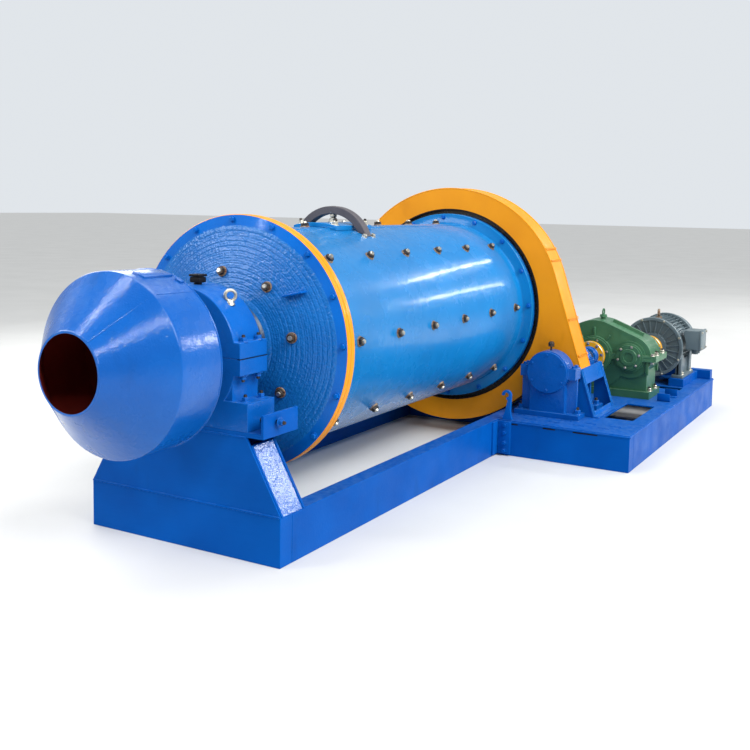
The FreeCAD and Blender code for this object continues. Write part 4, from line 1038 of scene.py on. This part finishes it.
def makeStudio():
    material, tree, shader, place = newMaterial("pale painted floor", {"Roughness": 0.6})
    tone = mixColors(tree, ramp(tree, noise(tree, place, 900), 0.3, 0.7), studio["floor"], studio["floorPatch"])
    tree.links.new(tone, shader.inputs["Base Color"])
    bm = bmesh.new()
    bmesh.ops.create_grid(bm, x_segments=2, y_segments=2, size=studio["floorHalf"])
    mesh = bpy.data.meshes.new("floor")
    bm.to_mesh(mesh)
    bm.free()
    mesh.materials.append(material)
    floor = bpy.data.objects.new("floor", mesh)
    bpy.context.scene.collection.objects.link(floor)
    world = bpy.data.worlds.new("studio")
    bpy.context.scene.world = world
    world.use_nodes = True
    tree = world.node_tree
    background = tree.nodes["Background"]
    background.inputs["Color"].default_value = hexColor(studio["world"])
    background.inputs["Strength"].default_value = studio["worldPower"]
    pale = addNode(tree, "ShaderNodeBackground", {"Color": hexColor(studio["world"]), "Strength": studio["seenPower"]})
    seen = addNode(tree, "ShaderNodeLightPath").outputs["Is Camera Ray"]  # a bright backdrop, a softer light
    both = addNode(tree, "ShaderNodeMixShader", None, {0: seen, 1: background.outputs[0], 2: pale.outputs[0]})
    tree.links.new(both.outputs[0], tree.nodes["World Output"].inputs["Surface"])


def addLamp(name, kind, matrix, power):
    light = bpy.data.lights.new(name, kind)
    light.energy = power
    lamp = bpy.data.objects.new(name, light)
    bpy.context.scene.collection.objects.link(lamp)
    lamp.matrix_world = matrix
    return lamp


def addArea(name, matrix, look):
    lamp = addLamp(name, "AREA", matrix, look["power"])
    lamp.data.shape = "RECTANGLE"
    lamp.data.size, lamp.data.size_y = look["size"]
    lamp.visible_camera = False


lamps = {
    "key": {"at": (1.0, -6.5, 5.5), "target": (1.8, 0, 0.9), "size": (5.0, 3.0), "power": 235},
    "overhead": {"at": (1.7, 0.6, 6.0), "target": (1.7, 0, 0.9), "size": (6.0, 2.0), "power": 95},
    "fill": {"at": (-4.6, 4.2, 3.9), "target": (0.4, 0, 1.4), "size": (3.0, 2.0), "power": 190},
    "back": {"at": (4.0, 6.0, 4.5), "target": (2.5, 0, 1), "size": (5.0, 2.5), "power": 220},
}
# narrow lamps that draw the bright lines along the drum and the feeder's cone: the place they face, the way to them,
# the line they lie along, distance, size and power
strips = {
    "upperLine": {"at": (11.6, -0.513, 1.291), "way": (0, -0.568, 0.822), "along": (1, 0, 0), "far": 5.0,
                  "size": (7.0, 0.22), "power": 170},
    "lowerLine": {"at": (11.6, -0.573, 1.163), "way": (0, -0.904, 0.427), "along": (1, 0, 0), "far": 5.0,
                  "size": (7.0, 0.17), "power": 130},
    "coneLine": {"at": (-0.66, -0.25, 1.14), "way": (-0.614, -0.468, 0.635), "along": (-1.101, 0.765, -0.501),
                 "far": 5.0, "size": (3.4, 0.08), "power": 80},
    "coneTopLine": {"at": (-0.66, -0.08, 1.27), "way": (-0.303, 0.392, 0.868), "along": (-0.9, 0.3, -0.45),
                    "far": 5.0, "size": (3.4, 0.10), "power": 95},
    "standSpot": {"at": (0.0, -0.5, 0.33), "way": (0.78, -0.517, 0.343), "along": (0.5, 0.8, 0.0), "far": 8.0,
                  "size": (1.0, 0.45), "power": 65},
}


def makeLamps():
    for name, look in lamps.items():
        addArea(name, aim(look["at"], Vector(look["at"]) - Vector(look["target"])), look)
    # a wide soft source from the key's side, so that the far floor is lit like the near one
    sky = addLamp("sky", "SUN", aim((0, 0, 9), studio["skyFrom"]), studio["sky"])
    sky.data.angle = math.radians(studio["skyAngle"])
    for name, look in strips.items():
        way = Vector(look["way"]).normalized()
        side = way.cross(Vector(look["along"])).normalized()
        addArea(name, frameOf(Vector(look["at"]) + way * look["far"], side.cross(way), side, way), look)


camera = {"at": (-3.816, -3.195, 1.716), "yaw": 30.69, "pitch": -5.40, "roll": 0.91, "lens": 48.11, "sensor": 36.0,
          "shift": (0.0333, -0.1027)}


def makeCamera():
    data = bpy.data.cameras.new("camera")
    data.sensor_width = camera["sensor"]
    data.lens = camera["lens"]
    data.shift_x, data.shift_y = camera["shift"]
    data.clip_end = 200
    item = bpy.data.objects.new("camera", data)
    bpy.context.scene.collection.objects.link(item)
    yaw, pitch = math.radians(camera["yaw"]), math.radians(camera["pitch"])
    forward = Vector((math.cos(yaw) * math.cos(pitch), math.sin(yaw) * math.cos(pitch), math.sin(pitch)))
    right = forward.cross(Vector((0, 0, 1))).normalized()
    up = right.cross(forward)
    roll = Matrix.Rotation(math.radians(camera["roll"]), 4, "Z")
    item.matrix_world = frameOf(camera["at"], right, up, -forward) @ roll
    bpy.context.scene.camera = item


makeStudio()
makeLamps()
makeCamera()
bpy.context.scene.view_settings.view_transform = "Standard"
print("studio made")
